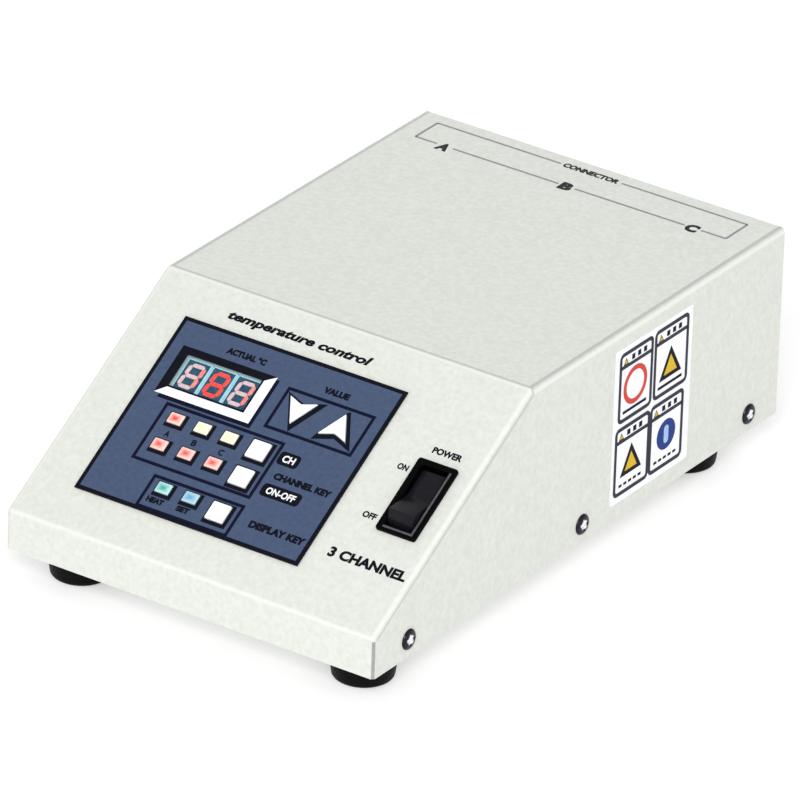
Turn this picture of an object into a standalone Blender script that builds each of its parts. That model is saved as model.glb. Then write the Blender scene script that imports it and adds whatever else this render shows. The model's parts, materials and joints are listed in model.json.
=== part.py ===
"""Three-channel heater controller: a sloped-front sheet-metal desk console.

Units are metres, +Z is up and the front lip faces -Y.  The origin is the
bottom centre of the whole object: the feet stand on Z = 0 and the case is
centred in X and, with its rear connectors, in Y.
"""
import math

import bmesh
import bpy
from mathutils import Matrix, Vector

MM = 0.001
GAP = 0.3 * MM

# ---------------------------------------------------------------- case
CASE_WIDTH = 150.0 * MM
CASE_DEPTH = 243.0 * MM
CASE_HEIGHT = 71.0 * MM
LIP_HEIGHT = 15.0 * MM
SLOPE_RUN = 89.5 * MM
SHEET = 1.2 * MM
BEND_RADIUS = 2.0 * MM
FOOT_HEIGHT = 12.0 * MM
CONNECTOR_PROUD = 5.0 * MM
REAR_RECESS = 3.0 * MM

CASE_BOTTOM = FOOT_HEIGHT
CASE_TOP = CASE_BOTTOM + CASE_HEIGHT
FRONT_Y = -(CASE_DEPTH + CONNECTOR_PROUD) / 2
REAR_Y = FRONT_Y + CASE_DEPTH
SLOPE_TOP_Y = FRONT_Y + SLOPE_RUN
SLOPE_ANGLE = math.atan2(CASE_HEIGHT - LIP_HEIGHT, SLOPE_RUN)
INNER_HALF_WIDTH = CASE_WIDTH / 2 - SHEET
FLOOR_TOP = CASE_BOTTOM + SHEET
PANEL_OUT_Y = REAR_Y - REAR_RECESS
PANEL_IN_Y = PANEL_OUT_Y - SHEET

# ---------------------------------------------------------------- slope
# Places on the slope are (x, v): v runs down the slope from its top bend.
OVERLAY_X = (-56.6 * MM, 34.5 * MM)
OVERLAY_V = (16.3 * MM, 89.9 * MM)
OVERLAY_THICK = 0.5 * MM
WINDOW_CENTRE = (-31.6 * MM, 36.6 * MM)
WINDOW_SIZE = (31.4 * MM, 13.8 * MM)
DIGIT_SIZE = (9.9 * MM, 13.2 * MM)
DIGIT_PITCH = 10.25 * MM
LAMP_SIZE = (5.5 * MM, 4.0 * MM)
LAMP_PITCH = 11.05 * MM
LAMP_FIRST_X = -37.3 * MM
LAMP_ROWS = {
    "channel_lamp": (0, 3, 53.8 * MM),
    "output_lamp": (0, 3, 64.7 * MM),
    "mode_lamp": (1, 2, 79.5 * MM),
}
LAMP_PROUD = 0.1 * MM
KEY_X = -2.8 * MM
KEY_SIZE = (7.2 * MM, 7.0 * MM)
KEY_ROWS = {
    "channel_key": 54.8 * MM,
    "output_key": 66.1 * MM,
    "mode_key": 81.2 * MM,
}
ARROW_V = 36.6 * MM
ARROW_KEYS = {"down_key": (1.8 * MM, -1), "up_key": (18.9 * MM, 1)}
ARROW_WIDTH = 10.9 * MM
ARROW_HEIGHT = 9.8 * MM
ARROW_NOTCH = 1.9 * MM
KEY_PROUD = 0.5 * MM
KEY_FLANGE_OVER = 1.0 * MM
KEY_FLANGE_THICK = 1.0 * MM
KEY_CLEAR = 0.35 * MM
SHEET_CLEAR = 0.5 * MM

# ---------------------------------------------------------------- switch
SWITCH_CENTRE = (60.2 * MM, 52.6 * MM)
SWITCH_BEZEL = (15.8 * MM, 30.0 * MM, 1.5 * MM)
SWITCH_BODY = (13.0 * MM, 27.6 * MM, 20.0 * MM)
SWITCH_WELL = (10.6 * MM, 25.2 * MM, 13.2 * MM)
ROCKER_RADIUS = 12.2 * MM
ROCKER_HALF_ANGLE = math.radians(15.0)
ROCKER_VALLEY = 3.9 * MM
ROCKER_UNDER_ANGLE = math.radians(25.0)
ROCKER_PIVOT_N = -4.0 * MM
TRUNNION_RADIUS = 1.2 * MM

# ---------------------------------------------------------------- rear
CONNECTOR_PITCH = 51.5 * MM
CONNECTOR_CENTRE_X = -1.3 * MM
CONNECTOR_Z = CASE_BOTTOM + 48.0 * MM
CONNECTOR_BARREL = 9.0 * MM
CONNECTOR_BORE = 7.2 * MM
CONNECTOR_FLANGE = 12.0 * MM
CONNECTOR_INSIDE = 10.0 * MM
INSERT_RECESS = 2.5 * MM
INLET_X = 42.0 * MM
INLET_Z = CASE_BOTTOM + 18.5 * MM
INLET_FLANGE = (50.0 * MM, 23.0 * MM, 3.0 * MM)
INLET_BODY = (28.0 * MM, 20.4 * MM, 22.0 * MM)
INLET_WELL = (24.6 * MM, 17.0 * MM)
INLET_WELL_DEPTH = 16.0 * MM
INLET_SCREW_PITCH = 40.0 * MM
INLET_PIN = (2.0 * MM, 13.0 * MM, 4.0 * MM)
INLET_PINS = ((-7.0 * MM, -2.0 * MM), (7.0 * MM, -2.0 * MM), (0.0, 2.0 * MM))
FUSE_X = -38.0 * MM
FUSE_Z = INLET_Z
FUSE_LENGTH = 20.0 * MM
FUSE_RADIUS = 2.6 * MM
FUSE_BORE = 3.2 * MM
FUSE_BODY_RADIUS = 6.2 * MM
FUSE_FLANGE_RADIUS = 8.0 * MM
FUSE_CAP_RADIUS = 6.8 * MM
FUSE_HOLDER_DEPTH = 28.0 * MM

# ---------------------------------------------------------------- fixings
SIDE_SCREW_Y = (20.0 * MM, 122.5 * MM, 225.0 * MM)
SIDE_SCREW_Z = CASE_BOTTOM + 6.8 * MM
SCREW_HEAD_RADIUS = 3.9 * MM
SCREW_HEAD_HEIGHT = 2.4 * MM
SCREW_SHANK_RADIUS = 1.9 * MM
FOOT_X = 57.8 * MM
FOOT_Y = (19.5 * MM, 213.0 * MM)
FOOT_TOP_RADIUS = 11.3 * MM
FOOT_BOTTOM_RADIUS = 10.2 * MM
FOOT_EDGE = 1.2 * MM

# ---------------------------------------------------------------- inside
FLANGE_HEIGHT = 14.0 * MM
FRONT_FLANGE_Y = FRONT_Y + 2.4 * MM
BOARD_THICK = 1.6 * MM
BOARD_TOP_N = -9.0 * MM
BOARD_X = (-58.0 * MM, 38.0 * MM)
BOARD_V = (20.0 * MM, 94.0 * MM)
BOARD_INSET = 4.0 * MM
TACT_TOP_N = -3.7 * MM
TACT_SIDE = 6.0 * MM
POWER_BOARD_X = (-62.0 * MM, 62.0 * MM)
POWER_BOARD_Y = (FRONT_Y + 98.0 * MM, FRONT_Y + 200.0 * MM)
POWER_BOARD_Z = 20.0 * MM
BOSS_RADIUS = 3.0 * MM
TRANSFORMER_PLACE = (34.0 * MM, FRONT_Y + 130.0 * MM)
CORE_SIZE = (42.0 * MM, 16.0 * MM, 35.0 * MM)
CORE_LIMB = 7.0 * MM
COIL_DEPTH = 28.0 * MM
SINK_PLACE = (-26.0 * MM, FRONT_Y + 172.0 * MM)
SINK_WIDTH = 62.0 * MM
SINK_FIN_COUNT = 9
SINK_BASE = 3.0 * MM
SINK_DEPTH = 18.0 * MM
SINK_HEIGHT = 36.0 * MM
TRIAC_PITCH = 18.0 * MM
CABLE_WIDTH = 24.0 * MM
CABLE_THICK = 1.0 * MM

SEGMENTS = 24
SCREW_SEGMENTS = 16


# ---------------------------------------------------------------- helpers
def clear_scene():
    for old in list(bpy.data.objects):
        bpy.data.objects.remove(old, do_unlink=True)


def new_collection(name):
    collection = bpy.data.collections.new(name)
    bpy.context.scene.collection.children.link(collection)
    return collection


def material(name, colour, roughness, metallic=0.0):
    mat = bpy.data.materials.new(name)
    mat.use_nodes = True
    shader = mat.node_tree.nodes["Principled BSDF"]
    shader.inputs["Base Color"].default_value = (*colour, 1.0)
    shader.inputs["Roughness"].default_value = roughness
    shader.inputs["Metallic"].default_value = metallic
    mat.diffuse_color = (*colour, 1.0)
    return mat


def place(name, bm, mat, parent=None, smooth=False):
    """Turn a bmesh into a named object of the model."""
    mesh = bpy.data.meshes.new(name)
    bm.to_mesh(mesh)
    bm.free()
    if smooth:
        mesh.shade_smooth()
        mesh.set_sharp_from_angle(angle=math.radians(35))
    obj = bpy.data.objects.new(name, mesh)
    if mat is None:
        CUTTERS.objects.link(obj)
        obj.hide_render = True
        obj.display_type = "WIRE"
    else:
        mesh.materials.append(mat)
        PARTS.objects.link(obj)
    obj.parent = parent
    return obj


def add_box(bm, low, high):
    low, high = Vector(low), Vector(high)
    matrix = Matrix.Translation((low + high) / 2) @ Matrix.Diagonal((*(high - low), 1.0))
    bmesh.ops.create_cube(bm, size=1.0, matrix=matrix)


def block(name, low, high, mat=None, parent=None):
    bm = bmesh.new()
    add_box(bm, low, high)
    return place(name, bm, mat, parent)


def rod(name, centre, axis, radius, length, mat=None, parent=None, segments=SEGMENTS):
    """A cylinder whose middle is at centre, along axis."""
    bm = bmesh.new()
    turn = Vector((0, 0, 1)).rotation_difference(Vector(axis)).to_matrix().to_4x4()
    bmesh.ops.create_cone(
        bm,
        cap_ends=True,
        segments=segments,
        radius1=radius,
        radius2=radius,
        depth=length,
        matrix=Matrix.Translation(centre) @ turn,
    )
    return place(name, bm, mat, parent, True)


def outline_mesh(name, points, thickness):
    """Fill a flat outline, give it its thickness and return it as a welded mesh."""
    curve = bpy.data.curves.new(name + "_outline", "CURVE")
    curve.dimensions = "2D"
    curve.fill_mode = "BOTH"
    curve.extrude = thickness / 2
    spline = curve.splines.new("POLY")
    spline.points.add(len(points) - 1)
    for point, (across, up) in zip(spline.points, points):
        point.co = (across, up, 0.0, 1.0)
    spline.use_cyclic_u = True
    holder = bpy.data.objects.new(name + "_outline", curve)
    bpy.context.scene.collection.objects.link(holder)
    depsgraph = bpy.context.evaluated_depsgraph_get()
    mesh = bpy.data.meshes.new_from_object(holder.evaluated_get(depsgraph))
    bpy.data.objects.remove(holder, do_unlink=True)
    bm = bmesh.new()
    bm.from_mesh(mesh)
    bpy.data.meshes.remove(mesh)
    bmesh.ops.remove_doubles(bm, verts=bm.verts, dist=1e-6)
    bmesh.ops.recalc_face_normals(bm, faces=bm.faces)
    return bm


# A flat outline (across, up) stands in the YZ plane and is thick along X.
STAND_YZ = Matrix(((0, 0, 1, 0), (1, 0, 0, 0), (0, 1, 0, 0), (0, 0, 0, 1)))


def side_outline(name, points, thickness, mat=None, parent=None, centre=(0, 0, 0)):
    bm = outline_mesh(name, points, thickness)
    bm.transform(Matrix.Translation(centre) @ STAND_YZ)
    return place(name, bm, mat, parent)


def flat_outline(name, points, low, high, mat=None, parent=None):
    """Extrude an outline in X and Y between two heights."""
    bm = outline_mesh(name, points, high - low)
    bm.transform(Matrix.Translation((0, 0, (low + high) / 2)))
    return place(name, bm, mat, parent)


def turned(name, profile, closed, mat, place_at, along_y=True, steps=SEGMENTS):
    """Turn a (radius, height) profile; its height points to +Y or to +Z."""
    bm = bmesh.new()
    verts = [bm.verts.new((radius, 0.0, height)) for radius, height in profile]
    for first, second in zip(verts, verts[1:]):
        bm.edges.new((first, second))
    if closed:
        bm.edges.new((verts[-1], verts[0]))
    obj = place(name, bm, mat)
    screw = obj.modifiers.new("Turn", "SCREW")
    screw.steps = steps
    screw.render_steps = steps
    screw.use_merge_vertices = True
    screw.merge_threshold = 1e-5
    screw.use_smooth_shade = False
    obj.location = place_at
    if along_y:
        obj.rotation_euler = (-math.pi / 2, 0, 0)
    return obj


def boolean(obj, tool, operation="DIFFERENCE"):
    modifier = obj.modifiers.new(operation.title(), "BOOLEAN")
    modifier.operation = operation
    modifier.solver = "EXACT"
    modifier.object = tool


def bevel_weighted(bm, chooses):
    layer = bm.edges.layers.float.new("bevel_weight_edge")
    for edge in bm.edges:
        if chooses(edge.verts[0].co, edge.verts[1].co):
            edge[layer] = 1.0


def slope_block(name, centre, size, low_n, high_n, mat=None):
    """A block on the slope: centre (x, v), size (x, v), from low_n to high_n."""
    x, v = centre
    half_x, half_v = size[0] / 2, size[1] / 2
    low = (x - half_x, -v - half_v, low_n)
    high = (x + half_x, -v + half_v, high_n)
    return block(name, low, high, mat, SLOPE)


# ---------------------------------------------------------------- case
def case_outline(inset, reach):
    """The case's side outline, inset by a distance; reach opens its rear and base."""
    slope_lift = inset / math.cos(SLOPE_ANGLE)
    tan_slope = math.tan(SLOPE_ANGLE)
    front = FRONT_Y + inset
    top = CASE_TOP - inset
    lip = CASE_BOTTOM + LIP_HEIGHT + inset * tan_slope - slope_lift
    bend = SLOPE_TOP_Y + (slope_lift - inset) / tan_slope
    rear = REAR_Y + reach
    base = CASE_BOTTOM - reach
    return [(front, base), (front, lip), (bend, top), (rear, top), (rear, base)]


def case_body(name, mat):
    """The whole case as a solid, with its bends rounded."""
    half_width = CASE_WIDTH / 2
    outline = case_outline(0.0, 0.0)
    bm = outline_mesh(name, outline, 2 * half_width)
    bm.transform(STAND_YZ)
    lip_z = outline[1][1]
    top_z = outline[2][1]
    front_y = outline[0][0]
    tiny = 1e-5

    def is_bend(first, second):
        along_side = abs(abs(first.x) - half_width) < tiny and abs(first.x - second.x) < tiny
        raised = min(first.z, second.z) > lip_z - tiny
        across = abs(first.x - second.x) > half_width
        on_lip = abs(first.z - lip_z) < tiny and abs(first.y - front_y) < tiny
        on_top_bend = abs(first.z - top_z) < tiny and first.y < REAR_Y - tiny
        return (along_side and raised and first.y != second.y) or (across and (on_lip or on_top_bend))

    bevel_weighted(bm, is_bend)
    obj = place(name, bm, mat)
    bend = obj.modifiers.new("Bend", "BEVEL")
    bend.width = BEND_RADIUS
    bend.segments = 3
    bend.limit_method = "WEIGHT"
    return obj


def slope_openings():
    """Where the sheet under the film is open: place, size and name of each hole."""
    yield WINDOW_CENTRE, WINDOW_SIZE
    for _, place_on_slope in lamp_places():
        yield place_on_slope, LAMP_SIZE
    for v in KEY_ROWS.values():
        yield (KEY_X, v), KEY_SIZE
    for x, _ in ARROW_KEYS.values():
        yield (x, ARROW_V), (ARROW_WIDTH, ARROW_HEIGHT)
    yield SWITCH_CENTRE, SWITCH_BODY[:2]


def many_boxes(name, boxes, parent=None):
    """One cutter made of separate boxes, each given by its low and high corner."""
    bm = bmesh.new()
    for low, high in boxes:
        add_box(bm, low, high)
    return place(name, bm, None, parent)


def slope_boxes(openings, clear, low_n, high_n):
    """Boxes on the slope, each opening grown all round by clear."""
    for (x, v), size in openings:
        half_x, half_v = size[0] / 2 + clear, size[1] / 2 + clear
        yield (x - half_x, -v - half_v, low_n), (x + half_x, -v + half_v, high_n)


def make_cover(paint):
    """Bent sheet: top, slope, front lip and two sides, open below and behind."""
    cover = case_body("cover", paint)
    inside = side_outline("cut_inside", case_outline(SHEET, 20 * MM), 2 * INNER_HALF_WIDTH)
    boolean(cover, inside)
    seam_width, seam_depth = 0.9 * MM, 2.0 * MM
    for side in (-1, 1):
        outer = side * (CASE_WIDTH / 2 + MM)
        inner = side * (CASE_WIDTH / 2 - seam_width)
        low = (min(outer, inner), FRONT_Y - MM, CASE_BOTTOM - MM)
        high = (max(outer, inner), FRONT_Y + seam_depth, CASE_BOTTOM + LIP_HEIGHT - 2.2 * MM)
        boolean(cover, block("cut_seam", low, high))
    boxes = slope_boxes(slope_openings(), SHEET_CLEAR, -3 * MM, 3 * MM)
    boolean(cover, many_boxes("cut_slope", boxes, SLOPE))
    hole = SCREW_SHANK_RADIUS + 0.4 * MM
    for offset in SIDE_SCREW_Y:
        centre = (0, FRONT_Y + offset, SIDE_SCREW_Z)
        boolean(cover, rod("cut_side_screw", centre, (1, 0, 0), hole, CASE_WIDTH * 2, segments=12))
    return cover


def make_base_tray(paint):
    """Floor with raised side and front flanges, which the side screws hold."""
    half = INNER_HALF_WIDTH - 0.4 * MM
    low = (-half, FRONT_FLANGE_Y, CASE_BOTTOM)
    high = (half, PANEL_OUT_Y, CASE_BOTTOM + FLANGE_HEIGHT)
    tray = block("base_tray", low, high, paint)
    inner_low = (-half + SHEET, FRONT_FLANGE_Y + SHEET, FLOOR_TOP)
    inner_high = (half - SHEET, PANEL_OUT_Y + 9 * MM, CASE_BOTTOM + 2 * FLANGE_HEIGHT)
    boolean(tray, block("cut_tray", inner_low, inner_high))
    boss_height = POWER_BOARD_Z - GAP - FLOOR_TOP
    for x in POWER_BOARD_X:
        for y in POWER_BOARD_Y:
            inset_x = x - math.copysign(BOARD_INSET, x)
            inset_y = y + (BOARD_INSET if y == POWER_BOARD_Y[0] else -BOARD_INSET)
            centre = (inset_x, inset_y, FLOOR_TOP + boss_height / 2 - SHEET / 4)
            boss = rod("tool_boss", centre, (0, 0, 1), BOSS_RADIUS, boss_height + SHEET / 2, segments=12)
            boolean(tray, boss, "UNION")
    hole = SCREW_SHANK_RADIUS + 0.4 * MM
    for offset in SIDE_SCREW_Y:
        centre = (0, FRONT_Y + offset, SIDE_SCREW_Z)
        boolean(tray, rod("cut_tray_screw", centre, (1, 0, 0), hole, CASE_WIDTH * 2, segments=12))
    return tray


def make_rear_panel(paint):
    """Plate with a foot bent forwards, cut for the inlet, fuse and connectors."""
    half = INNER_HALF_WIDTH - 0.4 * MM - SHEET - GAP
    base = FLOOR_TOP + GAP
    top = CASE_TOP - SHEET - 0.4 * MM
    foot = 12 * MM
    outline = [
        (PANEL_OUT_Y, base),
        (PANEL_OUT_Y, top),
        (PANEL_IN_Y, top),
        (PANEL_IN_Y, base + SHEET),
        (PANEL_IN_Y - foot, base + SHEET),
        (PANEL_IN_Y - foot, base),
    ]
    panel = side_outline("rear_panel", outline, 2 * half, paint)
    for x in connector_places():
        centre = (x, PANEL_OUT_Y, CONNECTOR_Z)
        boolean(panel, rod("cut_connector", centre, (0, 1, 0), CONNECTOR_BARREL + 0.4 * MM, 8 * MM))
    centre = (FUSE_X, PANEL_OUT_Y, FUSE_Z)
    boolean(panel, rod("cut_fuse", centre, (0, 1, 0), FUSE_BODY_RADIUS + 0.4 * MM, 8 * MM))
    half_x = INLET_BODY[0] / 2 + 0.4 * MM
    half_z = INLET_BODY[1] / 2 + 0.4 * MM
    low = (INLET_X - half_x, PANEL_OUT_Y - 4 * MM, INLET_Z - half_z)
    high = (INLET_X + half_x, PANEL_OUT_Y + 4 * MM, INLET_Z + half_z)
    boolean(panel, block("cut_inlet", low, high))
    for side in (-1, 1):
        centre = (INLET_X + side * INLET_SCREW_PITCH / 2, PANEL_OUT_Y, INLET_Z)
        boolean(panel, rod("cut_inlet_screw", centre, (0, 1, 0), 1.9 * MM, 8 * MM, segments=12))
    return panel


def make_feet(rubber):
    profile = [
        (0.0, FOOT_HEIGHT - GAP),
        (FOOT_TOP_RADIUS, FOOT_HEIGHT - GAP),
        (FOOT_TOP_RADIUS, FOOT_HEIGHT * 0.45),
        (FOOT_BOTTOM_RADIUS + FOOT_EDGE * 0.6, FOOT_EDGE),
        (FOOT_BOTTOM_RADIUS, FOOT_EDGE * 0.35),
        (FOOT_BOTTOM_RADIUS - FOOT_EDGE * 0.6, 0.0),
        (0.0, 0.0),
    ]
    names = {(-1, 0): "foot_front_left", (1, 0): "foot_front_right",
             (-1, 1): "foot_rear_left", (1, 1): "foot_rear_right"}
    for (side, row), name in names.items():
        centre = (side * FOOT_X, FRONT_Y + FOOT_Y[row], 0)
        turned(name, profile, False, rubber, centre, along_y=False, steps=28)


def screw_profile(head_radius, head_height, shank_radius, shank_length):
    """A pan head above zero and its shank below."""
    return [
        (0.0, head_height),
        (head_radius * 0.72, head_height * 0.94),
        (head_radius * 0.95, head_height * 0.62),
        (head_radius, GAP),
        (shank_radius, GAP),
        (shank_radius, -shank_length),
        (0.0, -shank_length),
    ]


def make_side_screws(steel):
    profile = screw_profile(SCREW_HEAD_RADIUS, SCREW_HEAD_HEIGHT, SCREW_SHANK_RADIUS, 6 * MM)
    for side, word in ((-1, "left"), (1, "right")):
        for number, offset in enumerate(SIDE_SCREW_Y, 1):
            centre = (side * CASE_WIDTH / 2, FRONT_Y + offset, SIDE_SCREW_Z)
            screw = turned(f"side_screw_{word}_{number}", profile, False, steel, centre, False, SCREW_SEGMENTS)
            screw.rotation_euler = (0, side * math.pi / 2, 0)


# ---------------------------------------------------------------- panel
def lamp_places():
    """Each lamp's name with its place (x, v) on the slope."""
    for kind, (first, count, v) in LAMP_ROWS.items():
        for index in range(count):
            yield f"{kind}_{index + 1}", (LAMP_FIRST_X + (first + index) * LAMP_PITCH, v)


def arrow_outline(x, points_to, grow=0.0):
    """A barbed arrowhead at x on the slope, pointing down (-1) or up (+1) it."""
    half = ARROW_WIDTH / 2 + grow
    tip = points_to * (ARROW_HEIGHT / 2 + grow * 1.6)
    back = -points_to * (ARROW_HEIGHT / 2 + grow)
    notch = back + points_to * (ARROW_NOTCH - grow * 0.4)
    centre = -ARROW_V
    outline = [(x - half, centre + back), (x, centre + notch), (x + half, centre + back), (x, centre + tip)]
    return outline if points_to < 0 else outline[::-1]


def make_overlay(film):
    """Printed film on the slope, cut for the window, lamps and keys."""
    centre = (sum(OVERLAY_X) / 2, sum(OVERLAY_V) / 2)
    size = (OVERLAY_X[1] - OVERLAY_X[0], OVERLAY_V[1] - OVERLAY_V[0])
    overlay = slope_block("control_overlay", centre, size, GAP, GAP + OVERLAY_THICK, film)
    openings = [(place_on_slope, LAMP_SIZE) for _, place_on_slope in lamp_places()]
    openings += [((KEY_X, v), KEY_SIZE) for v in KEY_ROWS.values()]
    boxes = list(slope_boxes(openings, GAP, -MM, 3 * MM))
    boxes += slope_boxes([(WINDOW_CENTRE, WINDOW_SIZE)], 0.0, -MM, 3 * MM)
    boolean(overlay, many_boxes("cut_film", boxes, SLOPE))
    for name, (x, points_to) in ARROW_KEYS.items():
        outline = arrow_outline(x, points_to, KEY_CLEAR)
        boolean(overlay, flat_outline("cut_film_" + name, outline, -MM, 3 * MM, parent=SLOPE))
    return overlay


def make_display(glass, module):
    size = (WINDOW_SIZE[0] - 2 * GAP, WINDOW_SIZE[1] - 2 * GAP)
    slope_block("display_window", WINDOW_CENTRE, size, GAP, GAP + OVERLAY_THICK, glass)
    for index in range(3):
        x = WINDOW_CENTRE[0] + (index - 1) * DIGIT_PITCH
        name = f"digit_module_{index + 1}"
        slope_block(name, (x, WINDOW_CENTRE[1]), DIGIT_SIZE, BOARD_TOP_N + GAP, -0.2 * MM, module)


def make_lamps(lens):
    for name, place_on_slope in lamp_places():
        high = GAP + OVERLAY_THICK + LAMP_PROUD
        slope_block(name, place_on_slope, LAMP_SIZE, BOARD_TOP_N + GAP, high, lens)


def key_empty(name, x, v):
    """An empty on the key's line of travel, which the key hangs from."""
    empty = bpy.data.objects.new(name + "_travel", None)
    PARTS.objects.link(empty)
    empty.parent = SLOPE
    empty.location = (x, -v, 0.0)
    return empty


def make_keys(plastic):
    """Key pads through the film, each with a retaining flange under the sheet."""
    top = GAP + OVERLAY_THICK + KEY_PROUD
    flange_top = -SHEET - GAP
    flange_low = flange_top - KEY_FLANGE_THICK
    for name, v in KEY_ROWS.items():
        travel = key_empty(name, KEY_X, v)
        half_x, half_v = KEY_SIZE[0] / 2, KEY_SIZE[1] / 2
        middle = flange_top - KEY_FLANGE_THICK / 2
        key = block(name, (-half_x, -half_v, middle), (half_x, half_v, top), plastic, travel)
        over = KEY_FLANGE_OVER
        low = (-half_x - over, -half_v - over, flange_low)
        high = (half_x + over, half_v + over, flange_top)
        boolean(key, block("tool_flange", low, high, None, travel), "UNION")
    for name, (x, points_to) in ARROW_KEYS.items():
        travel = key_empty(name, x, ARROW_V)
        outline = [(a - x, b + ARROW_V) for a, b in arrow_outline(x, points_to)]
        middle = flange_top - KEY_FLANGE_THICK / 2
        key = flat_outline(name, outline, middle, top, plastic, travel)
        half_x = ARROW_WIDTH / 2 + KEY_FLANGE_OVER
        half_v = ARROW_HEIGHT / 2 + KEY_FLANGE_OVER
        flange = block("tool_flange", (-half_x, -half_v, flange_low), (half_x, half_v, flange_top), None, travel)
        boolean(key, flange, "UNION")


def make_control_board(laminate, steel):
    """Board under the slope with its five tactile switches, on four spacers."""
    centre = (sum(BOARD_X) / 2, sum(BOARD_V) / 2)
    size = (BOARD_X[1] - BOARD_X[0], BOARD_V[1] - BOARD_V[0])
    board = slope_block("control_board", centre, size, BOARD_TOP_N - BOARD_THICK, BOARD_TOP_N, laminate)
    places = [(KEY_X, v) for v in KEY_ROWS.values()]
    places += [(x, ARROW_V) for x, _ in ARROW_KEYS.values()]
    for x, v in places:
        low_n = BOARD_TOP_N - BOARD_THICK / 2
        tact = slope_block("tool_tact", (x, v), (TACT_SIDE, TACT_SIDE), low_n, TACT_TOP_N)
        boolean(board, tact, "UNION")
    low_n = BOARD_TOP_N + GAP
    high_n = -SHEET - GAP
    number = 0
    for x in (BOARD_X[0] + BOARD_INSET, BOARD_X[1] - BOARD_INSET):
        for v in (BOARD_V[0] + BOARD_INSET, BOARD_V[1] - BOARD_INSET):
            number += 1
            centre = (x, -v, (low_n + high_n) / 2)
            rod(f"board_spacer_{number}", centre, (0, 0, 1), 2.5 * MM, high_n - low_n, steel, SLOPE, 6)


# ---------------------------------------------------------------- switch
def make_switch(housing_plastic, rocker_plastic):
    x, v = SWITCH_CENTRE
    bezel_top = GAP + SWITCH_BEZEL[2]
    housing = slope_block("switch_housing", SWITCH_CENTRE, SWITCH_BODY[:2], -SWITCH_BODY[2], 1 * MM, housing_plastic)
    bezel = slope_block("tool_bezel", SWITCH_CENTRE, SWITCH_BEZEL[:2], GAP, bezel_top)
    boolean(housing, bezel, "UNION")
    well = slope_block("cut_well", SWITCH_CENTRE, SWITCH_WELL[:2], -SWITCH_WELL[2], 4 * MM)
    boolean(housing, well)
    centre = (x, -v, ROCKER_PIVOT_N)
    hole = rod("cut_trunnion", centre, (1, 0, 0), TRUNNION_RADIUS + GAP, 20 * MM, None, SLOPE, 12)
    boolean(housing, hole)

    pivot = bpy.data.objects.new("rocker_pivot", None)
    PARTS.objects.link(pivot)
    pivot.parent = SLOPE
    pivot.location = centre
    pivot.rotation_euler = (-ROCKER_HALF_ANGLE, 0, 0)
    width = SWITCH_WELL[0] - 2 * GAP
    rocker = side_outline("rocker", rocker_outline(), width, rocker_plastic, pivot)
    length = SWITCH_BODY[0] - 0.4 * MM
    pin = rod("tool_trunnion", (0, 0, 0), (1, 0, 0), TRUNNION_RADIUS, length, None, pivot, 12)
    boolean(rocker, pin, "UNION")


def rocker_outline():
    """A shallow V over the pivot between two ends that are arcs about it."""
    slope = math.tan(ROCKER_HALF_ANGLE)
    a = 1 + slope * slope
    b = 2 * slope * ROCKER_VALLEY
    c = ROCKER_VALLEY ** 2 - ROCKER_RADIUS ** 2
    reach = (-b + math.sqrt(b * b - 4 * a * c)) / (2 * a)
    top_angle = math.atan2(ROCKER_VALLEY + slope * reach, reach)
    steps = 5
    angles = [top_angle - (top_angle + ROCKER_UNDER_ANGLE) * i / steps for i in range(steps + 1)]
    right = [(ROCKER_RADIUS * math.cos(t), ROCKER_RADIUS * math.sin(t)) for t in angles]
    left = [(-across, up) for across, up in reversed(right)]
    return [(0.0, ROCKER_VALLEY)] + right + left


# ---------------------------------------------------------------- rear
def connector_places():
    return [CONNECTOR_CENTRE_X + (index - 1) * CONNECTOR_PITCH for index in range(3)]


def make_connectors(metal, insulator):
    """Round receptacles for the three heaters: a metal shell around an insert."""
    proud = REAR_RECESS + CONNECTOR_PROUD
    shell = [
        (CONNECTOR_BARREL, proud),
        (CONNECTOR_BARREL, GAP + 2.2 * MM),
        (CONNECTOR_FLANGE, GAP + 2.2 * MM),
        (CONNECTOR_FLANGE, GAP),
        (CONNECTOR_BARREL, GAP),
        (CONNECTOR_BARREL, -CONNECTOR_INSIDE),
        (CONNECTOR_BORE, -CONNECTOR_INSIDE),
        (CONNECTOR_BORE, proud),
    ]
    radius = CONNECTOR_BORE - GAP
    high = proud - INSERT_RECESS
    low = -CONNECTOR_INSIDE - 2 * MM
    for number, x in enumerate(connector_places(), 1):
        centre = (x, PANEL_OUT_Y, CONNECTOR_Z)
        turned(f"connector_shell_{number}", shell, True, metal, centre)
        middle = (x, PANEL_OUT_Y + (high + low) / 2, CONNECTOR_Z)
        rod(f"connector_insert_{number}", middle, (0, 1, 0), radius, high - low, insulator)


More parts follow.
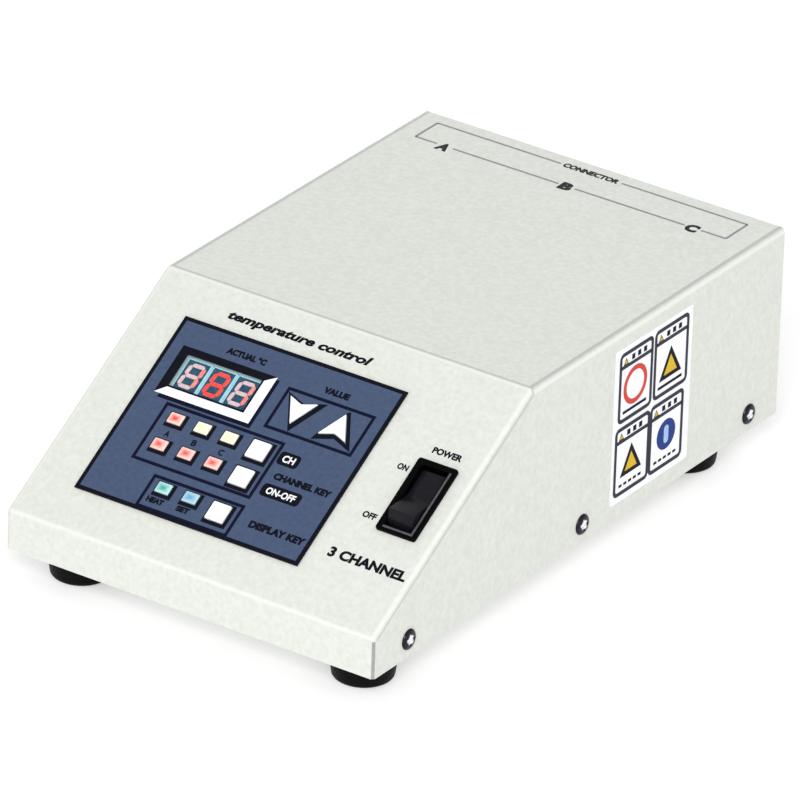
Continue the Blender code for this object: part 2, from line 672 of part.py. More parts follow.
def make_inlet(plastic, pin_metal, steel):
    """Mains inlet: a flanged socket well, its pin block and two screws."""
    half_x, half_z = INLET_FLANGE[0] / 2, INLET_FLANGE[1] / 2
    face = PANEL_OUT_Y + GAP
    outer = face + INLET_FLANGE[2]
    low = (INLET_X - half_x, face, INLET_Z - half_z)
    housing = block("inlet_housing", low, (INLET_X + half_x, outer, INLET_Z + half_z), plastic)
    half_x, half_z = INLET_BODY[0] / 2, INLET_BODY[1] / 2
    low = (INLET_X - half_x, outer - INLET_BODY[2], INLET_Z - half_z)
    body = block("tool_inlet", low, (INLET_X + half_x, face + MM, INLET_Z + half_z))
    boolean(housing, body, "UNION")
    half_x, half_z = INLET_WELL[0] / 2, INLET_WELL[1] / 2
    low = (INLET_X - half_x, outer - INLET_BODY[2] - MM, INLET_Z - half_z)
    boolean(housing, block("cut_well", low, (INLET_X + half_x, outer + MM, INLET_Z + half_z)))
    back = outer - INLET_WELL_DEPTH
    low = (INLET_X - half_x + GAP, outer - INLET_BODY[2], INLET_Z - half_z + GAP)
    high = (INLET_X + half_x - GAP, back, INLET_Z + half_z - GAP)
    block_of_pins = block("inlet_pin_block", low, high, pin_metal)
    for x, z in INLET_PINS:
        half_x, length, half_z = INLET_PIN[0] / 2, INLET_PIN[1], INLET_PIN[2] / 2
        low = (INLET_X + x - half_x, back - MM, INLET_Z + z - half_z)
        pin = block("tool_pin", low, (INLET_X + x + half_x, back + length, INLET_Z + z + half_z))
        boolean(block_of_pins, pin, "UNION")
    profile = screw_profile(3.0 * MM, 1.9 * MM, 1.5 * MM, 8 * MM)
    for side in (-1, 1):
        x = INLET_X + side * INLET_SCREW_PITCH / 2
        centre = (x, outer, INLET_Z)
        turned(f"inlet_screw_{(side + 3) // 2}", profile, False, steel, centre, steps=12)
        hole = rod("cut_flange_screw", (x, outer, INLET_Z), (0, 1, 0), 1.9 * MM, 12 * MM, segments=12)
        boolean(housing, hole)


def make_fuse(plastic, glass):
    """Panel fuse holder with its fuse and the cap that carries it out."""
    flange = 2.2 * MM
    centre = (FUSE_X, PANEL_OUT_Y, FUSE_Z)
    turned("fuse_holder", fuse_holder_profile(flange), False, plastic, centre)
    spigot = 3 * MM
    cap_low = flange + GAP
    cap_high = REAR_RECESS + CONNECTOR_PROUD
    cap = [
        (0.0, cap_high),
        (FUSE_CAP_RADIUS * 0.86, cap_high),
        (FUSE_CAP_RADIUS, cap_high - MM),
        (FUSE_CAP_RADIUS, cap_low),
        (FUSE_BORE - GAP, cap_low),
        (FUSE_BORE - GAP, flange - spigot),
        (0.0, flange - spigot),
    ]
    turned("fuse_cap", cap, False, plastic, centre)
    fuse_high = flange - spigot - GAP
    middle = (FUSE_X, PANEL_OUT_Y + fuse_high - FUSE_LENGTH / 2, FUSE_Z)
    rod("glass_fuse", middle, (0, 1, 0), FUSE_RADIUS, FUSE_LENGTH, glass, segments=16)


def fuse_holder_profile(flange):
    """Down the outside from the flange, then back up inside the bore."""
    floor = -FUSE_HOLDER_DEPTH + 2 * MM
    return [
        (0.0, floor),
        (FUSE_BORE, floor),
        (FUSE_BORE, flange),
        (FUSE_FLANGE_RADIUS, flange),
        (FUSE_FLANGE_RADIUS, GAP),
        (FUSE_BODY_RADIUS, GAP),
        (FUSE_BODY_RADIUS, -FUSE_HOLDER_DEPTH),
        (0.0, -FUSE_HOLDER_DEPTH),
    ]


# ---------------------------------------------------------------- inside
def make_power_board(laminate):
    low = (POWER_BOARD_X[0], POWER_BOARD_Y[0], POWER_BOARD_Z)
    high = (POWER_BOARD_X[1], POWER_BOARD_Y[1], POWER_BOARD_Z + BOARD_THICK)
    block("power_board", low, high, laminate)


def make_transformer(iron, winding):
    """A shell core around a winding on its middle limb."""
    x, y = TRANSFORMER_PLACE
    base = POWER_BOARD_Z + BOARD_THICK + GAP
    width, depth, height = CORE_SIZE
    low = (x - width / 2, y - depth / 2, base)
    core = block("transformer_core", low, (x + width / 2, y + depth / 2, base + height), iron)
    window_low = base + CORE_LIMB
    window_high = base + height - CORE_LIMB
    for side in (-1, 1):
        near, far = sorted((side * CORE_LIMB, side * 2 * CORE_LIMB))
        low = (x + near, y - depth, window_low)
        boolean(core, block("cut_core", low, (x + far, y + depth, window_high)))
    reach = 2 * CORE_LIMB - 0.4 * MM
    low = (x - reach, y - COIL_DEPTH / 2, window_low + 0.4 * MM)
    high = (x + reach, y + COIL_DEPTH / 2, window_high - 0.4 * MM)
    coil = block("transformer_coil", low, high, winding)
    limb_x = CORE_LIMB + 0.4 * MM
    limb_y = depth / 2 + 0.4 * MM
    low = (x - limb_x, y - limb_y, base)
    boolean(coil, block("cut_coil", low, (x + limb_x, y + limb_y, base + height)))


def make_heat_sink(aluminium, epoxy):
    """Finned extrusion on the power board with one triac for each channel."""
    x, y = SINK_PLACE
    base = POWER_BOARD_Z + BOARD_THICK + GAP
    left = x - SINK_WIDTH / 2
    pitch = SINK_WIDTH / (2 * SINK_FIN_COUNT - 1)
    outline = [(left, y), (left + SINK_WIDTH, y)]
    for index in range(2 * SINK_FIN_COUNT - 1):
        right_x = left + SINK_WIDTH - index * pitch
        depth = SINK_DEPTH if index % 2 == 0 else SINK_BASE
        outline += [(right_x, y + depth), (right_x - pitch, y + depth)]
    flat_outline("heat_sink", outline, base, base + SINK_HEIGHT, aluminium)
    tab, body, height, body_height = 1.3 * MM, 4.5 * MM, 16 * MM, 9.5 * MM
    face = y - GAP
    low_z = base + 8 * MM
    outline = [
        (face, low_z),
        (face, low_z + height),
        (face - tab, low_z + height),
        (face - tab, low_z + body_height),
        (face - body, low_z + body_height),
        (face - body, low_z),
    ]
    for index in range(3):
        centre = (x + (index - 1) * TRIAC_PITCH, 0, 0)
        side_outline(f"triac_{index + 1}", outline, 10 * MM, epoxy, None, centre)


def make_ribbon_cable(grey):
    """Flat cable that curves from the control board down to the power board."""
    start_v = 45 * MM
    start_n = BOARD_TOP_N - BOARD_THICK - GAP
    cos_a, sin_a = math.cos(SLOPE_ANGLE), math.sin(SLOPE_ANGLE)
    start = Vector((SLOPE_TOP_Y - start_v * cos_a - start_n * sin_a, CASE_TOP - start_v * sin_a + start_n * cos_a))
    end = Vector((POWER_BOARD_Y[0] + 6 * MM, POWER_BOARD_Z + BOARD_THICK + GAP))
    leave = start + Vector((sin_a, -cos_a)) * 22 * MM
    arrive = end + Vector((0, 16 * MM))
    steps = 12
    middle, across = [], []
    for index in range(steps + 1):
        t = index / steps
        weights = ((1 - t) ** 3, 3 * t * (1 - t) ** 2, 3 * t * t * (1 - t), t ** 3)
        point = start * weights[0] + leave * weights[1] + arrive * weights[2] + end * weights[3]
        slope = (leave - start) * (1 - t) ** 2 + (arrive - leave) * 2 * t * (1 - t) + (end - arrive) * t * t
        slope.normalize()
        middle.append(point)
        across.append(Vector((-slope.y, slope.x)) * CABLE_THICK / 2)
    outline = [tuple(point + side) for point, side in zip(middle, across)]
    outline += [tuple(point - side) for point, side in reversed(list(zip(middle, across)))]
    side_outline("ribbon_cable", outline, CABLE_WIDTH, grey, None, (-10 * MM, 0, 0))


# ---------------------------------------------------------------- build
clear_scene()
PARTS = new_collection("heater_controller")
CUTTERS = new_collection("cutters")
SLOPE = bpy.data.objects.new("slope_frame", None)
PARTS.objects.link(SLOPE)
SLOPE.location = (0.0, SLOPE_TOP_Y, CASE_TOP)
SLOPE.rotation_euler = (SLOPE_ANGLE, 0.0, 0.0)

PAINT = material("cover_paint", (0.75, 0.78, 0.73), 0.45)
TRAY_PAINT = material("tray_paint", (0.70, 0.73, 0.69), 0.5)
PANEL_PAINT = material("rear_panel_paint", (0.72, 0.75, 0.71), 0.5)
FILM = material("overlay_film", (0.08, 0.12, 0.21), 0.4)
CLEAR = material("window_acrylic", (0.05, 0.13, 0.15), 0.1)
MODULE = material("digit_plastic", (0.55, 0.65, 0.66), 0.4)
LENS = material("lamp_lens", (0.85, 0.55, 0.50), 0.25)
KEY_WHITE = material("key_plastic", (0.85, 0.86, 0.86), 0.4)
LAMINATE = material("board_laminate", (0.02, 0.16, 0.07), 0.5)
SPACER = material("spacer_nickel", (0.60, 0.60, 0.58), 0.3, 1.0)
SWITCH_BLACK = material("switch_plastic", (0.015, 0.015, 0.017), 0.25)
ROCKER_BLACK = material("rocker_plastic", (0.020, 0.020, 0.022), 0.2)
RUBBER = material("foot_rubber", (0.012, 0.012, 0.012), 0.7)
STEEL = material("screw_steel", (0.62, 0.62, 0.63), 0.2, 1.0)
SHELL = material("connector_nickel", (0.60, 0.59, 0.56), 0.28, 1.0)
INSULATOR = material("connector_insulator", (0.02, 0.02, 0.02), 0.5)
INLET_BLACK = material("inlet_plastic", (0.02, 0.02, 0.02), 0.4)
PIN_BRASS = material("pin_brass", (0.65, 0.55, 0.30), 0.3, 1.0)
FUSE_GLASS = material("fuse_glass", (0.75, 0.80, 0.80), 0.1)
IRON = material("core_iron", (0.18, 0.18, 0.19), 0.5, 0.8)
WINDING = material("coil_tape", (0.65, 0.45, 0.08), 0.5)
ALUMINIUM = material("sink_aluminium", (0.65, 0.66, 0.68), 0.35, 1.0)
EPOXY = material("triac_epoxy", (0.03, 0.03, 0.03), 0.5)
CABLE_GREY = material("cable_vinyl", (0.35, 0.36, 0.37), 0.5)

make_cover(PAINT)
make_base_tray(TRAY_PAINT)
make_rear_panel(PANEL_PAINT)
make_feet(RUBBER)
make_side_screws(STEEL)
make_overlay(FILM)
make_display(CLEAR, MODULE)
make_lamps(LENS)
make_keys(KEY_WHITE)
make_control_board(LAMINATE, SPACER)
make_switch(SWITCH_BLACK, ROCKER_BLACK)
make_connectors(SHELL, INSULATOR)
make_inlet(INLET_BLACK, PIN_BRASS, STEEL)
make_fuse(INLET_BLACK, FUSE_GLASS)
make_power_board(LAMINATE)
make_transformer(IRON, WINDING)
make_heat_sink(ALUMINIUM, EPOXY)
make_ribbon_cable(CABLE_GREY)
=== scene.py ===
"""Visual model of a three-channel heater controller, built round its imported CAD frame.

Units are metres, +Z is up and the front lip faces -Y.  Places come from the
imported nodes; each sub-assembly is a class that holds its own sizes.
"""
import json
import logging
import math
from dataclasses import dataclass
from enum import Enum

import bpy
import numpy as np
from mathutils import Matrix, Vector


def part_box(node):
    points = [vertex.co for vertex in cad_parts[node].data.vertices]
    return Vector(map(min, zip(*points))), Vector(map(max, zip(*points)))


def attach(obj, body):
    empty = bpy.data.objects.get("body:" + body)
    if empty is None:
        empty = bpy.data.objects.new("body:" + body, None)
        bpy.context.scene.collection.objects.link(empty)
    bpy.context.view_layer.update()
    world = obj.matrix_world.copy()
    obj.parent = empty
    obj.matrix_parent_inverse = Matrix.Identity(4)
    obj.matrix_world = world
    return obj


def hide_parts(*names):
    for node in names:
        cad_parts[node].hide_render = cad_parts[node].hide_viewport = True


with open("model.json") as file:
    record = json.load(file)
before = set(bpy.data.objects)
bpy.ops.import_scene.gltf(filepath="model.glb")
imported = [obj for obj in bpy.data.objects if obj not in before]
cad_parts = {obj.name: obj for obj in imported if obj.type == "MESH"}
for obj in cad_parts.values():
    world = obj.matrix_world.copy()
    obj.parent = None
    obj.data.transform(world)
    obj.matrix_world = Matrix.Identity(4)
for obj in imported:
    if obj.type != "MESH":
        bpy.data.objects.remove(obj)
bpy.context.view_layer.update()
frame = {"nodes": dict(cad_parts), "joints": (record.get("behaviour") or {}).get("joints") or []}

MM = 0.001
TINY = 1e-6
INK_THICK = 0.04 * MM
LOG = logging.getLogger("controller")


# ---------------------------------------------------------------- finishes
def linear(hex_colour: str) -> tuple[float, float, float, float]:
    """Turn an sRGB colour into the linear one that shaders take.

    Args:
        hex_colour: six hex digits.

    Returns:
        Linear red, green, blue and an alpha of one.
    """
    values = [int(hex_colour[i:i + 2], 16) / 255 for i in (0, 2, 4)]
    bent = [c / 12.92 if c <= 0.04045 else ((c + 0.055) / 1.055) ** 2.4 for c in values]
    return (*bent, 1.0)


def add_node(tree: bpy.types.NodeTree, kind: str, inputs: dict, **settings: object) -> bpy.types.Node:
    """Add a node with its settings, constants and links.

    Args:
        tree: the material's node tree.
        kind: the node's type name.
        inputs: socket name or number to a constant, or to the socket that feeds it.
        **settings: the node's own properties.

    Returns:
        The new node.
    """
    node = tree.nodes.new(kind)
    for name, value in settings.items():
        setattr(node, name, value)
    for key, value in inputs.items():
        if isinstance(value, bpy.types.NodeSocket):
            tree.links.new(value, node.inputs[key])
        else:
            node.inputs[key].default_value = value
    return node


@dataclass(frozen=True)
class Finish:
    """One finish: sRGB colours, pattern sizes in millimetres and shader values.

    mottle is the second colour that a soft noise of mottle_mm blends in; grain_mm and
    bump_mm are the width and height of the surface texture; core and crease are the colours
    that the piece's own attributes of those names bring in, and glow is how much it shines.  The core
    colour is a lens's chip colour, and a painted highlight on the enamel's bends and on the side
    screws; the painted shade colour is a painted shade line beside the enamel's bends.
    """

    name: str
    colour: str
    mottle: str
    mottle_mm: float
    grain_mm: float
    bump_mm: float
    roughness: float
    rough_spread: float = 0.06
    metallic: float = 0.0
    ior: float = 1.5
    alpha: float = 1.0
    specular: float = 0.5
    core: str = ""
    crease: str = ""
    glow: float = 0.0
    stretch: tuple[float, float, float] = (1.0, 1.0, 1.0)

    def build(self) -> bpy.types.Material:
        """Make the material once and return it."""
        found = bpy.data.materials.get(self.name)
        if found:
            return found
        mat = bpy.data.materials.new(self.name)
        mat.use_nodes = True
        tree = mat.node_tree
        shader = tree.nodes["Principled BSDF"]
        place = add_node(tree, "ShaderNodeTexCoord", {}).outputs["Object"]
        drawn = add_node(tree, "ShaderNodeMapping", {"Vector": place, "Scale": self.stretch})
        where = drawn.outputs["Vector"]
        scale = {"Vector": where, "Scale": 1 / (self.mottle_mm * MM), "Detail": 3.0}
        cloud = add_node(tree, "ShaderNodeTexNoise", scale).outputs[0]
        span = {"Value": cloud, "From Min": 0.32, "From Max": 0.68}
        share = add_node(tree, "ShaderNodeMapRange", span).outputs[0]
        colours = {0: share, 6: linear(self.colour), 7: linear(self.mottle)}
        tint = add_node(tree, "ShaderNodeMix", colours, data_type="RGBA").outputs[2]
        for name, extra in (("core", self.core), ("crease", self.crease)):
            if extra:
                share = add_node(tree, "ShaderNodeAttribute", {}, attribute_name=name).outputs["Fac"]
                colours = {0: share, 6: tint, 7: linear(extra)}
                tint = add_node(tree, "ShaderNodeMix", colours, data_type="RGBA").outputs[2]
        tree.links.new(tint, shader.inputs["Base Color"])
        if self.glow:
            tree.links.new(tint, shader.inputs["Emission Color"])
            shader.inputs["Emission Strength"].default_value = self.glow
        scale = {"Vector": where, "Scale": 1 / (self.grain_mm * MM), "Detail": 2.0}
        grain = add_node(tree, "ShaderNodeTexNoise", scale).outputs[0]
        low, high = self.roughness - self.rough_spread, self.roughness + self.rough_spread
        span = {"Value": grain, "From Min": 0.3, "From Max": 0.7, "To Min": low, "To Max": high}
        rough = add_node(tree, "ShaderNodeMapRange", span)
        tree.links.new(rough.outputs[0], shader.inputs["Roughness"])
        relief = {"Height": grain, "Strength": 1.0, "Distance": self.bump_mm * MM}
        bump = add_node(tree, "ShaderNodeBump", relief)
        tree.links.new(bump.outputs[0], shader.inputs["Normal"])
        shader.inputs["Metallic"].default_value = self.metallic
        if not self.metallic:
            shader.inputs["IOR"].default_value = self.ior
        shader.inputs["Specular IOR Level"].default_value = self.specular
        shader.inputs["Alpha"].default_value = self.alpha
        return mat


# Baked enamel sprayed on steel sheet: a warm off-white with a fine orange peel and a faint mottle.
# A painted highlight runs pale along each bend, and a painted shade line runs dull beside it.
ENAMEL = Finish("baked_enamel_offwhite", "DADCD5", "CFD3CB", 1.9, 1.2, 0.030, 0.42, 0.05, specular=0.13,
                core="E3E5DE", crease="AEB4AE")
# Dull grey slabs set back in the front corners: painted shade that darkens the gaps where lip and side stop
# short.
CORNER_PAINTED_SHADE = Finish("zinc_coated_cut_edge", "9EA1A0", "8F9393", 1.4, 0.4, 0.008, 0.5, specular=0.2)
# The same enamel on the tray and rear plate, sprayed thinner, so it looks a little greyer and flatter.
TRAY_ENAMEL = Finish("baked_enamel_tray", "CFD2CC", "C5C9C2", 2.2, 1.3, 0.025, 0.5, specular=0.15)
# Printed polyester film: slate blue under a satin hard coat, with a hardly visible pebble.
FILM = Finish("polyester_film_slate", "435470", "3E4C69", 1.6, 0.5, 0.008, 0.42, 0.04, specular=0.25)
# Screen-printed ink is a flat, slightly raised layer that dulls the gloss under it.
INK_BLACK = Finish("screen_ink_black", "080A14", "0E101D", 1.5, 0.3, 0.004, 0.5, specular=0.08)
INK_NAVY = Finish("screen_ink_navy", "0D0F24", "12142C", 1.5, 0.3, 0.004, 0.5, specular=0.05)
INK_SLATE = Finish("screen_ink_slate", "2A2A39", "333344", 1.5, 0.3, 0.004, 0.5, specular=0.12)
INK_GREY = Finish("screen_ink_grey", "7F8589", "898F92", 1.5, 0.3, 0.004, 0.5, specular=0.15)
INK_WHITE = Finish("screen_ink_white", "F4F5F6", "E9EBEE", 1.5, 0.3, 0.004, 0.45)
INK_RED = Finish("screen_ink_red", "C8382B", "D04535", 1.5, 0.3, 0.004, 0.45, specular=0.15)
INK_YELLOW = Finish("screen_ink_yellow", "CFAA14", "D8B522", 1.5, 0.3, 0.004, 0.45, specular=0.15)
INK_BLUE = Finish("screen_ink_blue", "172F78", "1F3985", 1.5, 0.3, 0.004, 0.45, specular=0.12)
INK_SKY = Finish("screen_ink_sky", "8FB4E2", "9BBDE6", 1.5, 0.3, 0.004, 0.45)
# Vinyl sticker stock: cooler and glossier white than the enamel round it.
VINYL = Finish("vinyl_label_white", "F1F2F4", "EAECEF", 4.0, 0.8, 0.006, 0.3, 0.04)
# Smoked acrylic: a clear tint that darkens the digits a little and carries a sharp gloss.
ACRYLIC = Finish("acrylic_window", "16343C", "1A3A42", 6.0, 2.0, 0.001, 0.06, 0.02, ior=1.49, alpha=0.07)
# Display modules: pale reflector plastic round a dark diffuser with glowing epoxy segments; the reflector,
# the diffuser and the unlit segments glow too, painted light for what reaches them under the smoked window.
MODULE_PAINTED_GLOW = Finish("display_reflector_plastic", "A9D6E0", "9CCBD8", 2.0, 0.4, 0.004, 0.4, glow=0.3)
DIFFUSER_PAINTED_GLOW = Finish("display_diffuser_teal", "20405A", "2F5B70", 1.8, 0.4, 0.004, 0.4, specular=0.2, glow=0.25)
SEGMENT_LIT = Finish("display_segment_lit", "F2403A", "F85348", 1.0, 0.3, 0.002, 0.35,
                     specular=0.2, glow=0.45)
SEGMENT_DIM = Finish("display_segment_dim", "EE7268", "F2958A", 1.0, 0.3, 0.002, 0.35,
                     specular=0.2, glow=0.45)
SEGMENT_OFF_PAINTED_GLOW = Finish("display_segment_unlit", "E3C4C4", "D3B4B8", 1.0, 0.3, 0.002, 0.4,
                     specular=0.2, glow=0.3)
# Diffused epoxy lenses: milky at the rim, with the colour gathered over the chip and moved left, so a paler
# right side is a painted highlight.  The green and blue lamps are unlit, so their faint glow is painted
# light.
LENS_RED = Finish("lens_epoxy_red", "F6C3BA", "F8D6CD", 1.0, 0.4, 0.003, 0.28, core="F0352E", glow=0.12)
LENS_PINK = Finish("lens_epoxy_pink", "FAD0C8", "F8C0B7", 1.0, 0.4, 0.003, 0.28, core="F2504A", glow=0.12)
LENS_CREAM = Finish("lens_epoxy_cream", "FBF6E0", "F6EFD2", 1.0, 0.4, 0.003, 0.28, core="F3E2B8", glow=0.08)
LENS_GREEN = Finish("lens_epoxy_green", "B9DFE2", "A8D5DA", 1.0, 0.4, 0.003, 0.28, core="2FA392", glow=0.05)
LENS_BLUE = Finish("lens_epoxy_blue", "B4D3E4", "A3C7DC", 1.0, 0.4, 0.003, 0.28, core="5FA3BE", glow=0.05)
# Moulded ABS keys: clean cool white with a satin skin, and a faint glow that is painted light to keep them
# bright.
KEY_WHITE_PAINTED_GLOW = Finish("abs_key_white", "F8F9FA", "F1F3F5", 4.0, 0.6, 0.005, 0.35, glow=0.06)
# Glass-filled nylon of the switch frame: near black with a fine spark-eroded texture.
SWITCH_FRAME = Finish("nylon_switch_black", "040405", "070608", 2.0, 0.5, 0.010, 0.34, specular=0.035)
# A thin paler strip along the frame's inner edge: a painted highlight where light catches the edge.
SWITCH_PAINTED_HIGHLIGHT = Finish("nylon_switch_polished_edge", "4A4850", "56545C", 1.5, 0.4, 0.003, 0.25, specular=0.3)
# Polished polycarbonate rocker: charcoal, glossier than its frame.
ROCKER = Finish("polycarbonate_rocker", "141318", "1A191F", 4.0, 0.8, 0.005, 0.24, 0.05, specular=0.12)
# Moulded rubber feet: dull black with a grey bloom.
RUBBER = Finish("moulded_rubber_black", "050506", "0B0A0C", 3.0, 0.6, 0.02, 0.5, specular=0.08)
# Side screws: dark metal whose colour is a painted reflection of the dark rim of a plated head, with a
# painted bright reflection round the driver's cross.
SIDE_SCREW_PAINTED_REFLECTION = Finish("blackened_steel", "2B2831", "36333C", 1.2, 0.35, 0.006, 0.3, metallic=1.0, core="FBF9FF")
# Nickel-plated steel screws at the inlet: bright heads with faint turning marks.
NICKEL = Finish("nickel_plated_steel", "C9CACC", "B2B4B8", 1.2, 0.35, 0.006, 0.22, metallic=1.0)
# Die-cast nickel shells: softer sheen than the screws.
SHELL = Finish("nickel_plated_zinc", "B9B8B4", "A8A7A4", 2.5, 0.5, 0.008, 0.32, metallic=1.0)
# Pins and contacts: pale plated brass that takes a mains plug, and gilded rings in the sockets.
BRASS = Finish("nickel_plated_brass_pins", "CFC9B4", "C0B89E", 1.5, 0.3, 0.004, 0.25, metallic=1.0)
GOLD = Finish("gold_plated_contacts", "E0B965", "D4A94F", 1.0, 0.3, 0.003, 0.25, metallic=1.0)
# Thermoset and nylon mouldings at the rear: deep black with a fine texture.
INSULATOR = Finish("phenolic_insulator", "17171A", "202024", 2.0, 0.5, 0.008, 0.45)
INLET_BLACK = Finish("nylon_inlet_black", "161619", "1D1D21", 2.5, 0.5, 0.012, 0.4)
# Parts inside: seen only through gaps, dressed as what they are.
LAMINATE = Finish("glass_epoxy_laminate", "1E5B33", "236A3C", 3.0, 0.6, 0.01, 0.4)
SPACER = Finish("nickel_plated_spacer", "C6C5C0", "B5B4B0", 2.0, 0.5, 0.005, 0.3, metallic=1.0)
CABLE = Finish("pvc_ribbon_grey", "8D9093", "9A9DA0", 1.3, 0.6, 0.01, 0.5, stretch=(1.0, 0.1, 0.1))
GLASS = Finish("fuse_tube_glass", "DCE6E6", "CFDBDB", 5.0, 1.0, 0.001, 0.08, 0.02, alpha=0.5)
IRON = Finish("laminated_core_iron", "4A4B4E", "595A5E", 1.0, 0.5, 0.02, 0.5, metallic=0.8,
              stretch=(0.1, 1.0, 0.1))
TAPE = Finish("polyester_coil_tape", "C79A22", "B98C1B", 4.0, 0.8, 0.01, 0.35)
SINK = Finish("extruded_aluminium", "B9BBBF", "A9ABB0", 3.0, 0.5, 0.01, 0.35, metallic=1.0,
              stretch=(1.0, 1.0, 0.1))
EPOXY = Finish("moulded_epoxy_black", "1F1F21", "28282A", 2.0, 0.4, 0.01, 0.5)


class Slot(Enum):
    """The record's material slots with the finish that a carried-over node takes."""

    COVER = ("cover_paint", ENAMEL)
    TRAY = ("tray_paint", TRAY_ENAMEL)
    PANEL = ("panel_paint", TRAY_ENAMEL)
    FILM = ("overlay_film", FILM)
    WINDOW = ("window_acrylic", ACRYLIC)
    DIGIT = ("digit_plastic", MODULE_PAINTED_GLOW)
    LAMP_RED = ("lamp_red", LENS_RED)
    LAMP_PALE = ("lamp_pale", LENS_CREAM)
    LAMP_PINK = ("lamp_pink", LENS_PINK)
    LAMP_GREEN = ("lamp_green", LENS_GREEN)
    LAMP_BLUE = ("lamp_blue", LENS_BLUE)
    KEY = ("key_plastic", KEY_WHITE_PAINTED_GLOW)
    BOARD = ("board_laminate", LAMINATE)
    SPACER = ("spacer_nickel", SPACER)
    CABLE = ("cable_vinyl", CABLE)
    SWITCH = ("switch_plastic", SWITCH_FRAME)
    ROCKER = ("rocker_plastic", ROCKER)
    FOOT = ("foot_rubber", RUBBER)
    SCREW = ("screw_steel", NICKEL)
    SHELL = ("connector_nickel", SHELL)
    INSULATOR = ("connector_insulator", INSULATOR)
    INLET = ("inlet_plastic", INLET_BLACK)
    PIN = ("pin_metal", BRASS)
    FUSE = ("fuse_glass", GLASS)
    IRON = ("core_iron", IRON)
    TAPE = ("coil_tape", TAPE)
    SINK = ("sink_aluminium", SINK)
    EPOXY = ("triac_epoxy", EPOXY)


# ---------------------------------------------------------------- flat frames
@dataclass(frozen=True)
class Plane:
    """A face of the object: (a, b, n) are along it, up it and out of it."""

    origin: tuple[float, float, float]
    across: tuple[float, float, float]
    up: tuple[float, float, float]

    @property
    def axes(self) -> np.ndarray:
        """The across, up and outward directions as rows."""
        return np.array([self.across, self.up, np.cross(self.across, self.up)], float)

    def place(self, points: np.ndarray) -> np.ndarray:
        """World points of (a, b, n) points: origin + a across + b up + n outward."""
        return np.asarray(points, float) @ self.axes + np.array(self.origin)

    def local(self, points: np.ndarray) -> np.ndarray:
        """The (a, b, n) of world points."""
        return (np.asarray(points, float) - np.array(self.origin)) @ self.axes.T

    def box(self, node: str, above: float = -1.0) -> tuple[np.ndarray, np.ndarray]:
        """Lowest and highest (a, b, n) of a CAD node.

        Args:
            node: the node's name.
            above: only points further out than this count.

        Returns:
            The two corners.
        """
        vertices = frame["nodes"][node].data.vertices
        flat = np.zeros(len(vertices) * 3)
        vertices.foreach_get("co", flat)
        local = self.local(flat.reshape(-1, 3))
        local = local[local[:, 2] > above]
        return local.min(0), local.max(0)


def corners_of(node: str) -> tuple[np.ndarray, np.ndarray]:
    """Lowest and highest world corners of a CAD node."""
    low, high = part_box(node)
    return np.array(low), np.array(high)


def flat_ground() -> Plane:
    """The plane that the feet stand on, with (a, b, n) the same as (x, y, z)."""
    return Plane((0, 0, 0), (1, 0, 0), (0, 1, 0))


CASE_LOW, CASE_HIGH = corners_of("cover")
LIP_HEIGHT = 15.0 * MM
PRESS = next(joint for joint in frame["joints"] if joint["name"] == "mode_key_press")
DOWN = np.array(PRESS["axis"], float) / np.linalg.norm(PRESS["axis"])
SIN, COS = float(DOWN[1]), float(-DOWN[2])
SLOPE_TOP_Y = CASE_LOW[1] + (CASE_HIGH[2] - CASE_LOW[2] - LIP_HEIGHT) * COS / SIN
SLOPE = Plane((0.0, SLOPE_TOP_Y, CASE_HIGH[2]), (1, 0, 0), (0, COS, SIN))
TOP = Plane((0.0, CASE_LOW[1], CASE_HIGH[2]), (1, 0, 0), (0, 1, 0))
RIGHT = Plane((CASE_HIGH[0], CASE_LOW[1], CASE_LOW[2]), (0, 1, 0), (0, 0, 1))
REAR = Plane((0.0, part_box("rear_panel")[1][1], 0.0), (-1, 0, 0), (0, 0, 1))


# ---------------------------------------------------------------- shapes
def quads(rows: int, columns: int, wrap: bool) -> np.ndarray:
    """Faces of a grid of points, row by row.

    Args:
        rows: number of rows of points.
        columns: number of points in a row.
        wrap: whether the last column meets the first again.

    Returns:
        Four point numbers for each cell.
    """
    r = np.arange(rows - 1)[:, None]
    c = np.arange(columns if wrap else columns - 1)[None, :]
    d = (c + 1) % columns
    corners = [r * columns + c, r * columns + d, (r + 1) * columns + d, (r + 1) * columns + c]
    return np.stack(np.broadcast_arrays(*corners), axis=-1).reshape(-1, 4)


def inset(outline: np.ndarray, distance: float) -> np.ndarray:
    """Move a counter-clockwise outline inwards.

    Each corner moves along its mitre: the sum of its two edges' inward normals,
    divided by one plus their dot product, times the distance.

    Args:
        outline: the corners in order.
        distance: how far in; below zero it moves outwards.

    Returns:
        The moved corners, as many as before.
    """
    edge = np.roll(outline, -1, axis=0) - outline
    edge = edge / np.linalg.norm(edge, axis=1, keepdims=True)
    after = np.stack([-edge[:, 1], edge[:, 0]], axis=1)
    before = np.roll(after, 1, axis=0)
    reach = 1 + np.sum(after * before, axis=1, keepdims=True)
    return outline + distance * (after + before) / reach


def rectangle(low: tuple[float, float], high: tuple[float, float]) -> np.ndarray:
    """A rectangle's four corners, counter-clockwise."""
    return np.array([low, (high[0], low[1]), high, (low[0], high[1])], float)


